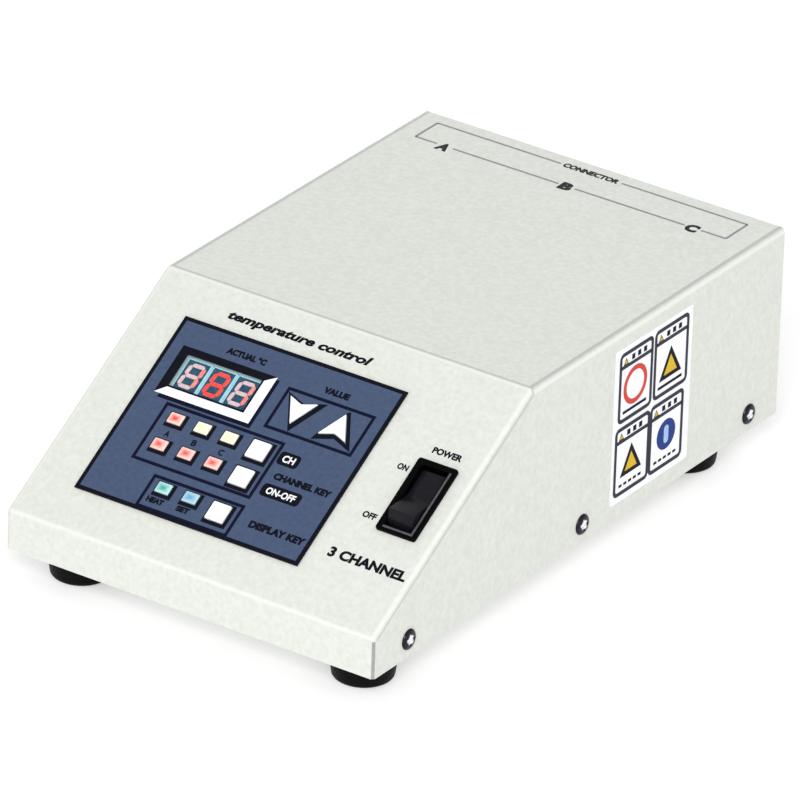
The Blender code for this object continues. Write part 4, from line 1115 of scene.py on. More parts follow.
@dataclass
class Feet:
    """Four turned rubber feet with a rounded tread and a screw well."""

    top_radius: float = 11.3 * MM
    foot_radius: float = 10.8 * MM
    edge: float = 1.9 * MM
    edge_steps: int = 5
    well_radius: float = 4.0 * MM
    well_deep: float = 4.0 * MM
    chamfer: float = 0.4 * MM
    taper_end: float = 0.5
    steps: int = 48

    def build(self) -> None:
        """Revolve each foot under its node: well, quarter-round tread, taper and straight skirt."""
        turn = np.linspace(0, math.pi / 2, self.edge_steps)
        curve = [(1 - math.sin(t), 1 - math.cos(t)) for t in turn]
        tread = [(self.foot_radius - self.edge * inward, self.edge * upward) for inward, upward in curve]
        well = [(self.well_radius, self.well_deep), (self.well_radius, self.chamfer)]
        well += [(self.well_radius + self.chamfer, 0.0)]
        for name in ("front_left", "front_right", "rear_left", "rear_right"):
            low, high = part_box("foot_" + name)
            skirt = [(self.top_radius, high.z * self.taper_end), (self.top_radius, high.z - self.chamfer)]
            skirt += [(self.top_radius - self.chamfer, high.z)]
            shape = Shape(flat_ground())
            shape.revolve([*well, *tread, *skirt], ((low.x + high.x) / 2, (low.y + high.y) / 2), self.steps)
            shape.piece(f"rubber_foot_{name}", RUBBER, slot=Slot.FOOT, nodes=("foot_" + name,))


@dataclass
class Screws:
    """Pan-head screws with a cross recess, in shares of the head's own radius and height."""

    rings: int = 14
    ring_power: float = 0.8
    steps: int = 48
    recess_arm: float = 0.56
    recess_half: float = 0.13
    recess_deep: float = 0.34
    wall_out: float = 0.05
    wall_run: float = 0.08
    crown: float = 0.75
    crown_reach: float = 0.97
    rim_slope: float = 9.0
    # Reach and fade of the painted highlight in the head's middle, in shares of its radius.
    painted_highlight: float = 0.5
    painted_highlight_fade: float = 0.12
    side_radius: float = 0.96
    side_height: float = 0.5
    seat: float = 0.02 * MM
    sharp: float = 50.0

    def head(self, shape: Shape, radius: float, height: float, low: float) -> None:
        """A domed head on a polar grid, turned by an eighth.

        The height falls as a quarter ellipse towards the rim, with a short steep edge, and
        inside either arm of a cross it sinks by the recess depth, with a steep smooth wall.
        The core share, a painted highlight in the head's middle, is one inside the middle and falls to none
        over the fade.

        Args:
            shape: what the head is added to.
            radius: the head's radius.
            height: its height.
            low: where its foot is.
        """
        share = np.linspace(0.0, 1.0, self.rings) ** self.ring_power
        eighth = math.pi / 4
        turn = np.arange(self.steps) * 2 * math.pi / self.steps + eighth
        r, t = np.meshgrid(share[::-1], turn, indexing="ij")
        x, y = r * np.cos(t), r * np.sin(t)
        ellipse = np.sqrt(np.clip(1 - (self.crown_reach * r) ** 2, 0, 1))
        dome = self.crown * ellipse + (1 - self.crown) * np.clip((1 - r) * self.rim_slope, 0, 1)
        arm_x = self.wall(np.abs(y), self.recess_half) * self.wall(np.abs(x), self.recess_arm)
        arm_y = self.wall(np.abs(x), self.recess_half) * self.wall(np.abs(y), self.recess_arm)
        tall = height * (dome - self.recess_deep * np.maximum(arm_x, arm_y))
        grid = np.stack([x * radius, y * radius, low + tall], axis=-1)
        rim = at(disc((0, 0), radius, self.steps), low)
        cos, sin = math.cos(eighth), math.sin(eighth)
        rim[:, :2] = rim[:, :2] @ np.array([[cos, sin], [-sin, cos]])
        painted_highlight = np.clip((self.painted_highlight - r[:-1]) / self.painted_highlight_fade, 0, 1).ravel()
        core = np.concatenate([np.zeros(self.steps), painted_highlight])
        shape.loft([rim, *grid[:-1]], marks=np.stack([core, 0 * core], axis=1))

    def wall(self, distance: np.ndarray, edge: float) -> np.ndarray:
        """One inside the edge and zero outside it, with a smooth step s * s * (3 - 2s) between."""
        step = np.clip((edge + self.wall_out - distance) / self.wall_run, 0, 1)
        return step * step * (3 - 2 * step)

    def build(self) -> None:
        """Put a head over each CAD screw, facing out of its own side."""
        sites = [f"side_screw_{side}_{n}" for side in ("left", "right") for n in (1, 2, 3)]
        for name in sites + ["inlet_screw_1", "inlet_screw_2"]:
            low, high = corners_of(name)
            centre = (low + high) / 2
            if "inlet" in name:
                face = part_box("inlet_housing")[1][1]
                plane = Plane((centre[0], face, centre[2]), (-1, 0, 0), (0, 0, 1))
                radius, height = (high[2] - low[2]) / 2, high[1] - face
            else:
                sign = 1 if "right" in name else -1
                plane = Plane((sign * CASE_HIGH[0], centre[1], centre[2]), (0, sign, 0), (0, 0, 1))
                radius = self.side_radius * (high[2] - low[2]) / 2
                height = self.side_height * ((high[0] if sign > 0 else -low[0]) - CASE_HIGH[0])
            shape = Shape(plane)
            self.head(shape, radius, height, self.seat)
            finish = NICKEL if "inlet" in name else SIDE_SCREW_PAINTED_REFLECTION
            shape.piece(name + "_head", finish, slot=Slot.SCREW, nodes=(name,), angle=self.sharp)


# ---------------------------------------------------------------- panel
@dataclass
class ControlPanel:
    """The printed film with its display, lamps and keys.

    Boxes of the print are in millimetres across the slope and up it.  The display's shadow is
    its start from the left, depth below, width at the right and drop from the top.
    """

    border: float = 1.4 * MM
    wrap: float = 0.04 * MM
    line: float = 1.15 * MM
    shadow: float = 1.75 * MM
    gap: float = 0.3 * MM
    lamp_line: float = 0.05 * MM
    key_line: float = 0.25 * MM
    arrow_line: float = 1.15 * MM
    arrow_shift: tuple[float, float] = (0.95 * MM, -0.8 * MM)
    arrow_notch: float = 1.9 * MM
    groups: tuple[tuple[float, ...], ...] = (
        (-6.4, -45.9, 29.3, -28.7),
        (-44.0, -72.8, 4.8, -48.9),
        (-32.4, -89.0, 5.0, -75.6),
    )
    display_outer: tuple[float, ...] = (-50.75, -46.7, -12.0, -26.9)
    display_inner: tuple[float, ...] = (-47.3, -43.5, -15.9, -29.7)
    display_line: float = 0.75 * MM
    display_shadow: tuple[float, ...] = (2.2, 1.5, 1.4, 1.0)
    legend_words: tuple[Word, ...] = (
        Word("ACTUAL °C", (-27.0, -23.2), (15.9, 2.6), 0.065),
        Word("VALUE", (11.2, -25.4), (10.3, 2.5), 0.065),
        Word("CHANNEL KEY", (19.4, -61.6), (23.0, 2.7), 0.065),
        Word("DISPLAY KEY", (21.1, -81.2), (22.4, 2.9), 0.065),
        Word("HEAT", (-26.4, -84.9), (6.8, 2.2), 0.065),
        Word("SET", (-15.2, -84.7), (5.2, 2.2), 0.065),
    )
    lamp_letter: tuple[float, float] = (1.9 * MM, 2.4 * MM)
    lamp_letter_shift: tuple[float, float] = (0.4 * MM, 2.6 * MM)
    tab_words: tuple[tuple[Word, tuple[float, float]], ...] = (
        (Word("CH", (9.5, -54.5), (4.8, 2.8), 0.03), (8.2, 5.2)),
        (Word("ON-OFF", (14.2, -67.5), (11.6, 2.7), 0.03), (15.6, 5.0)),
    )
    tab_corner: float = 1.4 * MM
    pane_corner: float = 0.4 * MM
    pane_ease: float = 0.15 * MM
    module_corner: float = 0.3 * MM
    module_ease: float = 0.1 * MM
    module_rim: float = 0.62 * MM
    face_thick: float = 0.05 * MM
    segment_high: float = 0.12 * MM
    digit: tuple[float, float] = (6.9 * MM, 10.2 * MM)
    digit_bar: float = 1.5 * MM
    digit_part: float = 0.12 * MM
    digit_lean: float = math.radians(5)
    lamp_corner: float = 0.35 * MM
    lamp_ease: float = 0.25 * MM
    lamp_proud: float = 0.1 * MM
    lamp_rings: tuple[float, ...] = (0.85, 0.7, 0.5, 0.3, 0.12)
    # How far left of the middle the colour gathers, leaving a painted highlight on the right.
    painted_highlight_shift: float = 0.35 * MM
    chip_core: float = 1.25
    chip_fall: float = 1.35
    key_foot: float = -1.0 * MM
    key_corner: float = 0.5 * MM
    key_ease: float = 0.25 * MM

    def build(self) -> None:
        """Dress the film and build everything on it."""
        self.film_top = float(SLOPE.box("control_overlay")[1][2])
        self.printing()
        self.shadows()
        self.legends()
        self.display()
        self.lamps()
        self.keys()

    def ink(self, shape: Shape, outer: np.ndarray, inner: np.ndarray) -> None:
        """A frame of ink between two outlines, one ink's thickness above the film."""
        low = self.film_top + INK_THICK
        shape.frame_between(outer, inner, low, low + INK_THICK)

    def spot(self, shape: Shape, outline: np.ndarray) -> None:
        """A filled patch of ink, as high as the frames."""
        low = self.film_top + INK_THICK
        shape.prism(outline, low, low + INK_THICK)

    def printing(self) -> None:
        """The film's border, the boxes round its groups and the stepped frame of the display.

        The display's frame is dark above and to the left, pale below and to the right, with a
        thin dark line inside it and a shadow outside it, both below and to the right.
        """
        low, high = SLOPE.box("control_overlay")
        edge = rectangle(low[:2], high[:2])
        black, navy, white = Shape(SLOPE), Shape(SLOPE), Shape(SLOPE)
        skirt = inset(edge, -self.wrap)
        black.frame_between(skirt, inset(edge, self.border), float(low[2]), self.film_top + INK_THICK)
        for a0, b0, a1, b1 in np.array(self.groups) * MM:
            outer = rectangle((a0, b0), (a1, b1))
            self.ink(navy, outer, inset(outer, self.line))
        a0, b0, a1, b1 = np.array(self.display_outer) * MM
        c0, d0, c1, d1 = np.array(self.display_inner) * MM
        self.spot(black, np.array([(a0, b0), (c0, d0), (c0, d1), (c1, d1), (a1, b1), (a0, b1)]))
        self.spot(white, np.array([(a0, b0), (a1, b0), (a1, b1), (c1, d1), (c1, d0), (c0, d0)]))
        start, deep, wide, drop = np.array(self.display_shadow) * MM
        low_edge = [(a0 + start, b0), (a0 + start, b0 - deep), (a1 + wide, b0 - deep)]
        right_edge = [(a1 + wide, b1 - drop), (a1, b1 - drop), (a1, b0)]
        self.spot(navy, np.array([*low_edge, *right_edge]))
        e1, e0 = c1 - self.display_line, d0 + self.display_line
        self.spot(black, np.array([(c0, d0), (c1, d0), (c1, d1), (e1, d1), (e1, e0), (c0, e0)]))
        black.piece("film_print_black", INK_BLACK)
        navy.piece("film_print_navy", INK_NAVY)
        white.piece("film_print_white", INK_WHITE)

    def shadows(self) -> None:
        """Printed drop shadows below and to the right of every lamp, key and arrow."""
        black = Shape(SLOPE)
        for name in frame["nodes"]:
            if "_lamp_" in name or name in ("channel_key", "output_key", "mode_key"):
                low, high = SLOPE.box(name, 0.0)
                hole = rectangle(low[:2] - self.gap, high[:2] + self.gap)
                thin = self.lamp_line if "_lamp_" in name else self.key_line
                start = (low[0] - self.gap - thin, low[1] - self.shadow)
                end = (high[0] + self.shadow, high[1] + self.gap + thin)
                self.ink(black, rectangle(start, end), hole)
        for name in ("down_key", "up_key"):
            tip = self.arrow(name)
            outer = inset(tip, -self.arrow_line) + np.array(self.arrow_shift)
            self.ink(black, outer, inset(tip, -self.gap))
        black.piece("film_print_shadows", INK_BLACK)

    def arrow(self, name: str) -> np.ndarray:
        """A barbed arrowhead's outline from its key's own box, counter-clockwise."""
        (left, foot, _), (right, head, _) = SLOPE.box(name, 0.0)
        middle = (left + right) / 2
        if name == "down_key":
            return np.array([(left, head), (middle, foot), (right, head), (middle, head - self.arrow_notch)])
        return np.array([(left, foot), (middle, foot + self.arrow_notch), (right, foot), (middle, head)])

    def legends(self) -> None:
        """Generic words and letters of the film, and its two black tabs."""
        dark, tabs, pale = Shape(SLOPE), Shape(SLOPE), Shape(SLOPE)
        low = self.film_top + INK_THICK
        for word in self.legend_words:
            word.ink(dark, low)
        across, up = self.lamp_letter_shift
        for index, letter in enumerate("ABC", 1):
            first, last = SLOPE.box(f"output_lamp_{index}", 0.0)
            centre = ((first[0] + last[0]) / 2 + across, last[1] + up)
            dark.words(letter, centre, self.lamp_letter, low, weight=0.03)
        for word, size in self.tab_words:
            middle, half = np.array(word.centre), np.array(size) / 2
            self.spot(tabs, rounded((middle - half) * MM, (middle + half) * MM, self.tab_corner))
            word.ink(pale, low + INK_THICK)
        dark.piece("film_legends", INK_BLACK)
        tabs.piece("film_tabs", INK_BLACK)
        pale.piece("film_tab_words", INK_WHITE)

    def display(self) -> None:
        """Three seven-segment modules under a smoked window."""
        low, high = SLOPE.box("display_window")
        pane = Shape(SLOPE)
        pane.pad(rounded(low[:2], high[:2], self.pane_corner), eased(low[2], high[2], self.pane_ease))
        pane.piece("display_pane", ACRYLIC, slot=Slot.WINDOW, nodes=("display_window",))
        lit, dim, unlit = Shape(SLOPE), Shape(SLOPE), Shape(SLOPE)
        for index, (shown, glowing) in enumerate((("bc", dim), ("abcdefg", lit), ("bc", dim)), 1):
            name = f"digit_module_{index}"
            low, high = SLOPE.box(name)
            body = Shape(SLOPE)
            outline = rounded(low[:2], high[:2], self.module_corner)
            body.pad(outline, eased(low[2], high[2], self.module_ease))
            body.piece(f"digit_body_{index}", MODULE_PAINTED_GLOW, slot=Slot.DIGIT, nodes=(name,))
            face = Shape(SLOPE)
            edge = inset(rectangle(low[:2], high[:2]), self.module_rim)
            face.prism(edge, high[2], high[2] + self.face_thick)
            face.piece(f"digit_face_{index}", DIFFUSER_PAINTED_GLOW)
            for letter, outline in self.segments((low[:2] + high[:2]) / 2).items():
                target = glowing if letter in shown else unlit
                target.prism(outline, high[2] + self.face_thick, high[2] + self.segment_high)
        lit.piece("digit_segments_lit", SEGMENT_LIT)
        dim.piece("digit_segments_dim", SEGMENT_DIM)
        unlit.piece("digit_segments_unlit", SEGMENT_OFF_PAINTED_GLOW)

    def segments(self, centre: np.ndarray) -> dict[str, np.ndarray]:
        """Outlines of a digit's seven bars, each six-sided, leaned by x + y tan(lean).

        Args:
            centre: the digit's middle.

        Returns:
            The letter of each bar, from a at the top round to g in the middle, to its outline.
        """
        bar, part = self.digit_bar, self.digit_part
        left, right = -self.digit[0] / 2 + bar / 2, self.digit[0] / 2 - bar / 2
        half = self.digit[1] / 2 - bar / 2
        ends = {
            "a": ((left, half), (right, half)),
            "b": ((right, half), (right, 0.0)),
            "c": ((right, 0.0), (right, -half)),
            "d": ((left, -half), (right, -half)),
            "e": ((left, 0.0), (left, -half)),
            "f": ((left, half), (left, 0.0)),
            "g": ((left, 0.0), (right, 0.0)),
        }
        made = {}
        for letter, (start, end) in ends.items():
            start, end = np.array(start), np.array(end)
            along = (end - start) / np.linalg.norm(end - start)
            side = np.array([-along[1], along[0]]) * bar / 2
            start, end = start + along * part, end - along * part
            near, far = start + along * bar / 2, end - along * bar / 2
            outline = np.array([start, near - side, far - side, end, far + side, near + side])
            outline[:, 0] += outline[:, 1] * math.tan(self.digit_lean)
            made[letter] = outline + centre
        return made

    def lamps(self) -> None:
        """Small rectangular lenses with the colour gathered over the chip.

        With d the larger of a point's distances from the chip, across in half widths and up in
        half heights, its core share is chip_core - chip_fall d, held between none and one.  The chip
        is taken a little left of the middle, so the right side stays pale as a painted highlight.
        """
        kinds = {
            "channel_lamp_1": Slot.LAMP_RED,
            "channel_lamp_2": Slot.LAMP_PALE,
            "channel_lamp_3": Slot.LAMP_PALE,
            "output_lamp_1": Slot.LAMP_PINK,
            "output_lamp_2": Slot.LAMP_PINK,
            "output_lamp_3": Slot.LAMP_PINK,
            "mode_lamp_1": Slot.LAMP_GREEN,
            "mode_lamp_2": Slot.LAMP_BLUE,
        }
        for name, slot in kinds.items():
            low, high = SLOPE.box(name)
            outline = rounded(low[:2], high[:2], self.lamp_corner)
            top = high[2] + self.lamp_proud
            levels = eased(low[2], top, self.lamp_ease)
            rings = [at(inset(outline, depth), height) for depth, height in levels]
            centre = (low[:2] + high[:2]) / 2
            middle = np.array([*centre, top])
            rings += [middle + (rings[-1] - middle) * share for share in self.lamp_rings]
            away = np.concatenate(rings)[:, :2] - (centre - np.array([self.painted_highlight_shift, 0.0]))
            reach = np.max(np.abs(away) / ((high[:2] - low[:2]) / 2), axis=1)
            core = np.clip(self.chip_core - self.chip_fall * reach, 0, 1)
            lens = Shape(SLOPE)
            lens.loft(rings, marks=np.stack([core, 0 * core], axis=1))
            lens.piece(name + "_lens", slot.value[1], slot=slot, nodes=(name,))

    def keys(self) -> None:
        """White key tops with eased edges, each on its own body."""
        for name in ("channel_key", "output_key", "mode_key", "down_key", "up_key"):
            low, high = SLOPE.box(name, 0.0)
            if name in ("down_key", "up_key"):
                outline = self.arrow(name)
            else:
                outline = rounded(low[:2], high[:2], self.key_corner)
            cap = Shape(SLOPE)
            cap.pad(outline, eased(self.key_foot, high[2], self.key_ease))
            cap.piece(name + "_cap", KEY_WHITE_PAINTED_GLOW, body=name, slot=Slot.KEY, nodes=(name,))


# ---------------------------------------------------------------- switch
@dataclass
class PowerSwitch:
    """The rocker switch: a bevelled frame, a deep well and the rocker on its pivot."""

    bezel: tuple[float, float] = (15.8 * MM, 30.0 * MM)
    body: tuple[float, float] = (13.0 * MM, 27.6 * MM)
    well: tuple[float, float] = (10.6 * MM, 25.2 * MM)
    well_deep: float = 13.2 * MM
    radius: float = 12.2 * MM
    half_angle: float = math.radians(15.0)
    valley: float = 3.9 * MM
    under: float = math.radians(25.0)
    width: float = 10.0 * MM
    blend: float = 2.2 * MM
    rocker_ease: float = 0.35 * MM
    rocker_chamfer: float = 0.1 * MM
    rocker_sharp: float = 40.0
    rocker_steps: int = 10
    seat: float = 0.3 * MM
    inner_corner: float = 0.6 * MM
    bezel_corner: float = 1.0 * MM
    bezel_ease: float = 0.7 * MM
    well_ease: float = 0.35 * MM
    highlight_out: float = 0.55 * MM
    highlight_wide: float = 0.75 * MM

    def build(self) -> None:
        """Build the frame and then the rocker."""
        self.housing()
        self.rocker()

    def housing(self) -> None:
        """Rings of rounded rectangles: up the body, out under the bezel, over it and down the well."""
        low, high = SLOPE.box("switch_housing")
        middle = (low[:2] + high[:2]) / 2
        top, inner, outer = high[2], self.inner_corner, self.bezel_corner

        def ring(size: tuple[float, float], shrink: float, radius: float, height: float) -> np.ndarray:
            """One rounded rectangle about the switch's middle."""
            half = np.array(size) / 2 - shrink
            return at(rounded(middle - half, middle + half, radius, 6), height)

        rings = [ring(self.body, 0, inner, low[2]), ring(self.body, 0, inner, self.seat)]
        rings += [ring(self.bezel, 0, outer, self.seat)]
        for t in np.linspace(0, math.pi / 2, 5):
            shrink = self.bezel_ease * (1 - math.cos(t))
            rings.append(ring(self.bezel, shrink, outer, top - self.bezel_ease * (1 - math.sin(t))))
        for t in np.linspace(0, math.pi / 2, 4):
            grow = -self.well_ease * (1 - math.sin(t))
            rings.append(ring(self.well, grow, inner, top - self.well_ease * (1 - math.cos(t))))
        rings.append(ring(self.well, 0, inner, -self.well_deep))
        shape = Shape(SLOPE)
        shape.loft(rings)
        shape.piece("switch_frame", SWITCH_FRAME, slot=Slot.SWITCH, nodes=("switch_housing",))
        # A thin paler L along the well's right and lower edges: a painted highlight.
        half = np.array(self.well) / 2
        (a0, b0), (a1, b1) = middle - half, middle + half
        b0, b2 = b0 - self.highlight_out, b0 - self.highlight_out - self.highlight_wide
        a1, a2 = a1 + self.highlight_out, a1 + self.highlight_out + self.highlight_wide
        strip = Shape(SLOPE)
        corner = np.array([(a0, b2), (a2, b2), (a2, b1), (a1, b1), (a1, b0), (a0, b0)])
        strip.prism(corner, top, top + INK_THICK)
        strip.piece("switch_frame_edge", SWITCH_PAINTED_HIGHLIGHT, slot=Slot.SWITCH)

    def rocker(self) -> None:
        """A shallow V between two arcs about the pivot, carried across the switch with eased ends.

        Each flank of the V rises by tan(half_angle) for each metre outwards and ends where it
        meets the arc: reach solves reach ** 2 + (valley + rise reach) ** 2 = radius ** 2.  A
        parabola as wide as the blend on either side rounds the V's middle.
        """
        joint = next(found for found in frame["joints"] if found["name"] == "rocker_tilt")
        pivot = np.array(joint["pos_m"], float)
        slope_angle = math.atan2(SIN, COS)
        lean = slope_angle - self.half_angle
        side = Plane(tuple(pivot), (0, math.cos(lean), math.sin(lean)), (0, -math.sin(lean), math.cos(lean)))
        rise = math.tan(self.half_angle)
        a, b, c = 1 + rise * rise, 2 * rise * self.valley, self.valley ** 2 - self.radius ** 2
        reach = (-b + math.sqrt(b * b - 4 * a * c)) / (2 * a)
        crest = math.atan2(self.valley + rise * reach, reach)
        turn = np.linspace(-self.under, crest, self.rocker_steps)
        right = np.stack([np.cos(turn), np.sin(turn)], axis=1) * self.radius
        across = np.linspace(-1, 1, 9) * self.blend
        soft = self.valley + rise * (across ** 2 / (2 * self.blend) + self.blend / 2)
        dip = np.stack([across, soft], axis=1)[::-1]
        left = right[::-1] * np.array([-1.0, 1.0])
        outline = np.concatenate([right, dip, left])
        ease, chamfer, half = self.rocker_ease, self.rocker_chamfer, self.width / 2
        levels = [(ease, -half), (chamfer, -half + chamfer), (0.0, -half + ease)]
        levels += [(inward, -height) for inward, height in levels[::-1]]
        shape = Shape(side)
        shape.pad(outline, levels)
        shape.piece("rocker_paddle", ROCKER, body="rocker", slot=Slot.ROCKER, nodes=("rocker",),
                    angle=self.rocker_sharp)


# ---------------------------------------------------------------- rear
@dataclass
class RearFittings:
    """Sockets, mains inlet and fuse on the recessed rear plate."""

    barrel: float = 9.0 * MM
    flange: float = 12.0 * MM
    bore: float = 7.2 * MM
    collar: float = 2.5 * MM
    chamfer: float = 0.4 * MM
    seat: float = 0.3 * MM
    thread_pitch: float = 1.0 * MM
    thread_deep: float = 0.35 * MM
    thread_end: float = 0.6 * MM
    contacts: int = 5
    contact_circle: float = 3.9 * MM
    contact_radius: float = 1.0 * MM
    contact_wall: float = 0.35 * MM
    contact_proud: float = 0.5 * MM
    contact_steps: int = 20
    round_steps: int = 56
    rim_gap: float = 0.35 * MM
    rim_corner: float = 0.5 * MM
    rim_wide: float = 1.4 * MM
    rim_proud: float = 0.6 * MM
    rim_round: float = 0.2 * MM
    pin: tuple[float, float] = (2.0 * MM, 4.0 * MM)
    pin_length: float = 13.0 * MM
    pin_point: float = 0.7 * MM
    pin_root: float = 0.5 * MM
    live_pins: tuple[float, float] = (7.0 * MM, -2.0 * MM)
    earth_pin: float = 2.0 * MM
    flange_deep: float = 9.0 * MM
    flange_edge: float = 0.3 * MM
    ribs: int = 24
    rib_deep: float = 0.03
    cap_start: float = 2.5 * MM
    cap_edge: tuple[tuple[float, float], ...] = ((0.95, 0.6 * MM), (0.86, 0.1 * MM), (0.8, 0.0))
    cap_face: tuple[float, ...] = (0.6, 0.45, 0.3, 0.2, 0.12, 0.05)
    cap_rib_end: float = 1.2 * MM
    slot_half: float = 0.75 * MM
    slot_deep: float = 1.4 * MM
    cap_sharp: float = 40.0
    letter: tuple[float, float] = (3.6 * MM, 4.4 * MM)
    letter_shift: tuple[float, float] = (16.5 * MM, -3.0 * MM)
    fuse_word: tuple[float, float] = (10.0 * MM, 3.0 * MM)
    fuse_drop: float = 4.2 * MM

    def build(self) -> None:
        """Build the flanges, the three sockets, the inlet's rim and pins, the fuse cap and the print."""
        self.side_flanges()
        for number in (1, 2, 3):
            self.socket(number)
        self.inlet_rim()
        self.inlet_pins()
        self.fuse_cap()
        self.letters()

    @staticmethod
    def on_plate(node: str) -> tuple[np.ndarray, np.ndarray, tuple[float, float]]:
        """A node's corners and the middle of it on the rear plate.

        Args:
            node: the CAD node's name.

        Returns:
            Its lowest and highest world corners and its middle's (a, b).
        """
        low, high = corners_of(node)
        return low, high, (-(low[0] + high[0]) / 2, (low[2] + high[2]) / 2)

    def side_flanges(self) -> None:
        """The plate's own flanges, bent forwards beside the cover's walls above the tray."""
        plate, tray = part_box("rear_panel"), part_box("base_tray")
        levels = [(0.0, -self.flange_deep), (0.0, -self.flange_edge), (self.flange_edge, 0.0)]
        flanges = Shape(REAR)
        for sign in (1, -1):
            near, far = sorted((sign * plate[1][0], sign * tray[1][0]))
            outline = rectangle((near, tray[1][2] + self.flange_edge), (far, plate[1][2]))
            flanges.pad(outline, levels)
        flanges.piece("panel_side_flanges", TRAY_ENAMEL, slot=Slot.PANEL)

    def socket(self, number: int) -> None:
        """A threaded round shell about an insert with a circle of contacts.

        The shell's section runs up the barrel, round the collar and up the thread, whose
        radius falls by the thread's depth half way through each turn, and down the bore.

        Args:
            number: which socket, from one.
        """
        shell, core = f"connector_shell_{number}", f"connector_insert_{number}"
        low, high, centre = self.on_plate(shell)
        face = REAR.origin[1]
        proud, inside = high[1] - face, low[1] - face
        barrel, flange, collar = self.barrel, self.flange, self.collar
        profile = [(self.bore, inside), (barrel, inside), (barrel, self.seat)]
        profile += [(flange - self.seat, self.seat), (flange, 2 * self.seat)]
        profile += [(flange, collar - self.chamfer), (flange - self.chamfer, collar), (barrel, collar)]
        for turn in range(int((proud - collar - self.thread_end) / self.thread_pitch)):
            start = collar + self.seat + turn * self.thread_pitch
            profile += [(barrel, start), (barrel - self.thread_deep, start + self.thread_pitch / 2)]
        profile += [(barrel, proud - self.chamfer), (barrel - self.chamfer, proud), (self.bore, proud)]
        shape = Shape(REAR)
        rings = [at(disc(centre, radius, self.round_steps), height) for radius, height in profile]
        shape.loft(rings, closed=True)
        shape.piece(f"socket_shell_{number}", SHELL, slot=Slot.SHELL, nodes=(shell,))
        low, high = corners_of(core)
        radius = (high[0] - low[0]) / 2
        top = high[1] - face
        insert = Shape(REAR)
        levels = [(radius, low[1] - face), (radius, top - self.chamfer), (radius - self.chamfer, top)]
        insert.revolve(levels, centre, self.round_steps)
        insert.piece(f"socket_insert_{number}", INSULATOR, slot=Slot.INSULATOR, nodes=(core,))
        pins = Shape(REAR)
        for index in range(self.contacts):
            angle = math.radians(90 + 360 / self.contacts * (index + 0.5))
            across, up = self.contact_circle * math.cos(angle), self.contact_circle * math.sin(angle)
            ring = disc((centre[0] + across, centre[1] + up), self.contact_radius, self.contact_steps)
            pins.frame_between(ring, inset(ring, self.contact_wall), top, top + self.contact_proud)
        pins.piece(f"socket_contacts_{number}", GOLD)

    def inlet_rim(self) -> None:
        """A raised rounded lip round the inlet's well."""
        low, high = corners_of("inlet_pin_block")
        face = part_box("inlet_housing")[1][1] - REAR.origin[1]
        first = (-high[0] - self.rim_gap, low[2] - self.rim_gap)
        last = (-low[0] + self.rim_gap, high[2] + self.rim_gap)
        edge = rounded(first, last, self.rim_corner)
        outer = inset(edge, -self.rim_wide)
        top = face + self.rim_proud
        rings = [at(outer, face), at(outer, face + self.seat), at(inset(outer, self.seat), top)]
        rings += [at(inset(edge, -self.rim_round), top), at(edge, face + self.chamfer), at(edge, face)]
        rim = Shape(REAR)
        rim.loft(rings, closed=True)
        rim.piece("inlet_rim", INLET_BLACK, slot=Slot.INLET)

    def inlet_pins(self) -> None:
        """A black base across the foot of the inlet's well, with three flat pins pointed at the end."""
        low, high, middle = self.on_plate("inlet_pin_block")
        face = REAR.origin[1]
        seat, end = high[1] - face - self.pin_length, high[1] - face
        base = Shape(REAR)
        base.prism(rectangle((-high[0], low[2]), (-low[0], high[2])), low[1] - face, seat)
        base.piece("inlet_base", INLET_BLACK, slot=Slot.INLET, nodes=("inlet_pin_block",))
        reach, drop = self.live_pins
        half = np.array(self.pin) / 2
        levels = [(0.0, seat - self.pin_root), (0.0, end - self.pin_point), (self.pin_point / 2, end)]
        pins = Shape(REAR)
        for spot in ((-reach, drop), (reach, drop), (0.0, self.earth_pin)):
            centre = np.array(middle) + spot
            pins.pad(rectangle(tuple(centre - half), tuple(centre + half)), levels)
        pins.piece("inlet_pins", BRASS, slot=Slot.PIN)

    def fuse_cap(self) -> None:
        """A ribbed cap with a driver slot, on a polar grid.

        Round the side the radius is 1 - rib_deep (1 + cos(ribs t)) / 2 of the whole at a turn
        of t; over the face it falls ring by ring, and the points within the slot are sunk.
        """
        low, high, centre = self.on_plate("fuse_cap")
        radius = (high[0] - low[0]) / 2
        turn = np.arange(4 * self.ribs) * 2 * math.pi / (4 * self.ribs)
        ribbed = 1 - self.rib_deep * (0.5 + 0.5 * np.cos(self.ribs * turn))
        top = high[1] - REAR.origin[1]
        sides = [(ribbed, self.cap_start), (ribbed, top - self.cap_rib_end)]
        sides += [(share, top - drop) for share, drop in self.cap_edge]
        rings = []
        for share, height in sides:
            rings.append((share * radius * np.cos(turn), share * radius * np.sin(turn), height))
        for share in self.cap_face:
            across, up = radius * share * np.cos(turn), radius * share * np.sin(turn)
            rings.append((across, up, top - np.where(np.abs(up) < self.slot_half, self.slot_deep, 0.0)))
        cap = Shape(REAR)
        cap.loft([np.stack([centre[0] + x, centre[1] + y, z + 0 * x], axis=1) for x, y, z in rings])
        cap.piece("fuse_cap_ribbed", INLET_BLACK, body="fuse_cap", slot=Slot.INLET, nodes=("fuse_cap",),
                  angle=self.cap_sharp)

    def letters(self) -> None:
        """One letter by each socket and a word by the fuse."""
        ink = Shape(REAR)
        across, up = self.letter_shift
        for number, letter in enumerate("ABC", 1):
            _, high, centre = self.on_plate(f"connector_shell_{number}")
            ink.words(letter, (centre[0] + across, high[2] + up), self.letter, 0.0, weight=0.03)
        low, _, centre = self.on_plate("fuse_holder")
        ink.words("FUSE", (centre[0], low[2] - self.fuse_drop), self.fuse_word, 0.0, weight=0.02)
        ink.piece("rear_print_words", INK_BLACK)


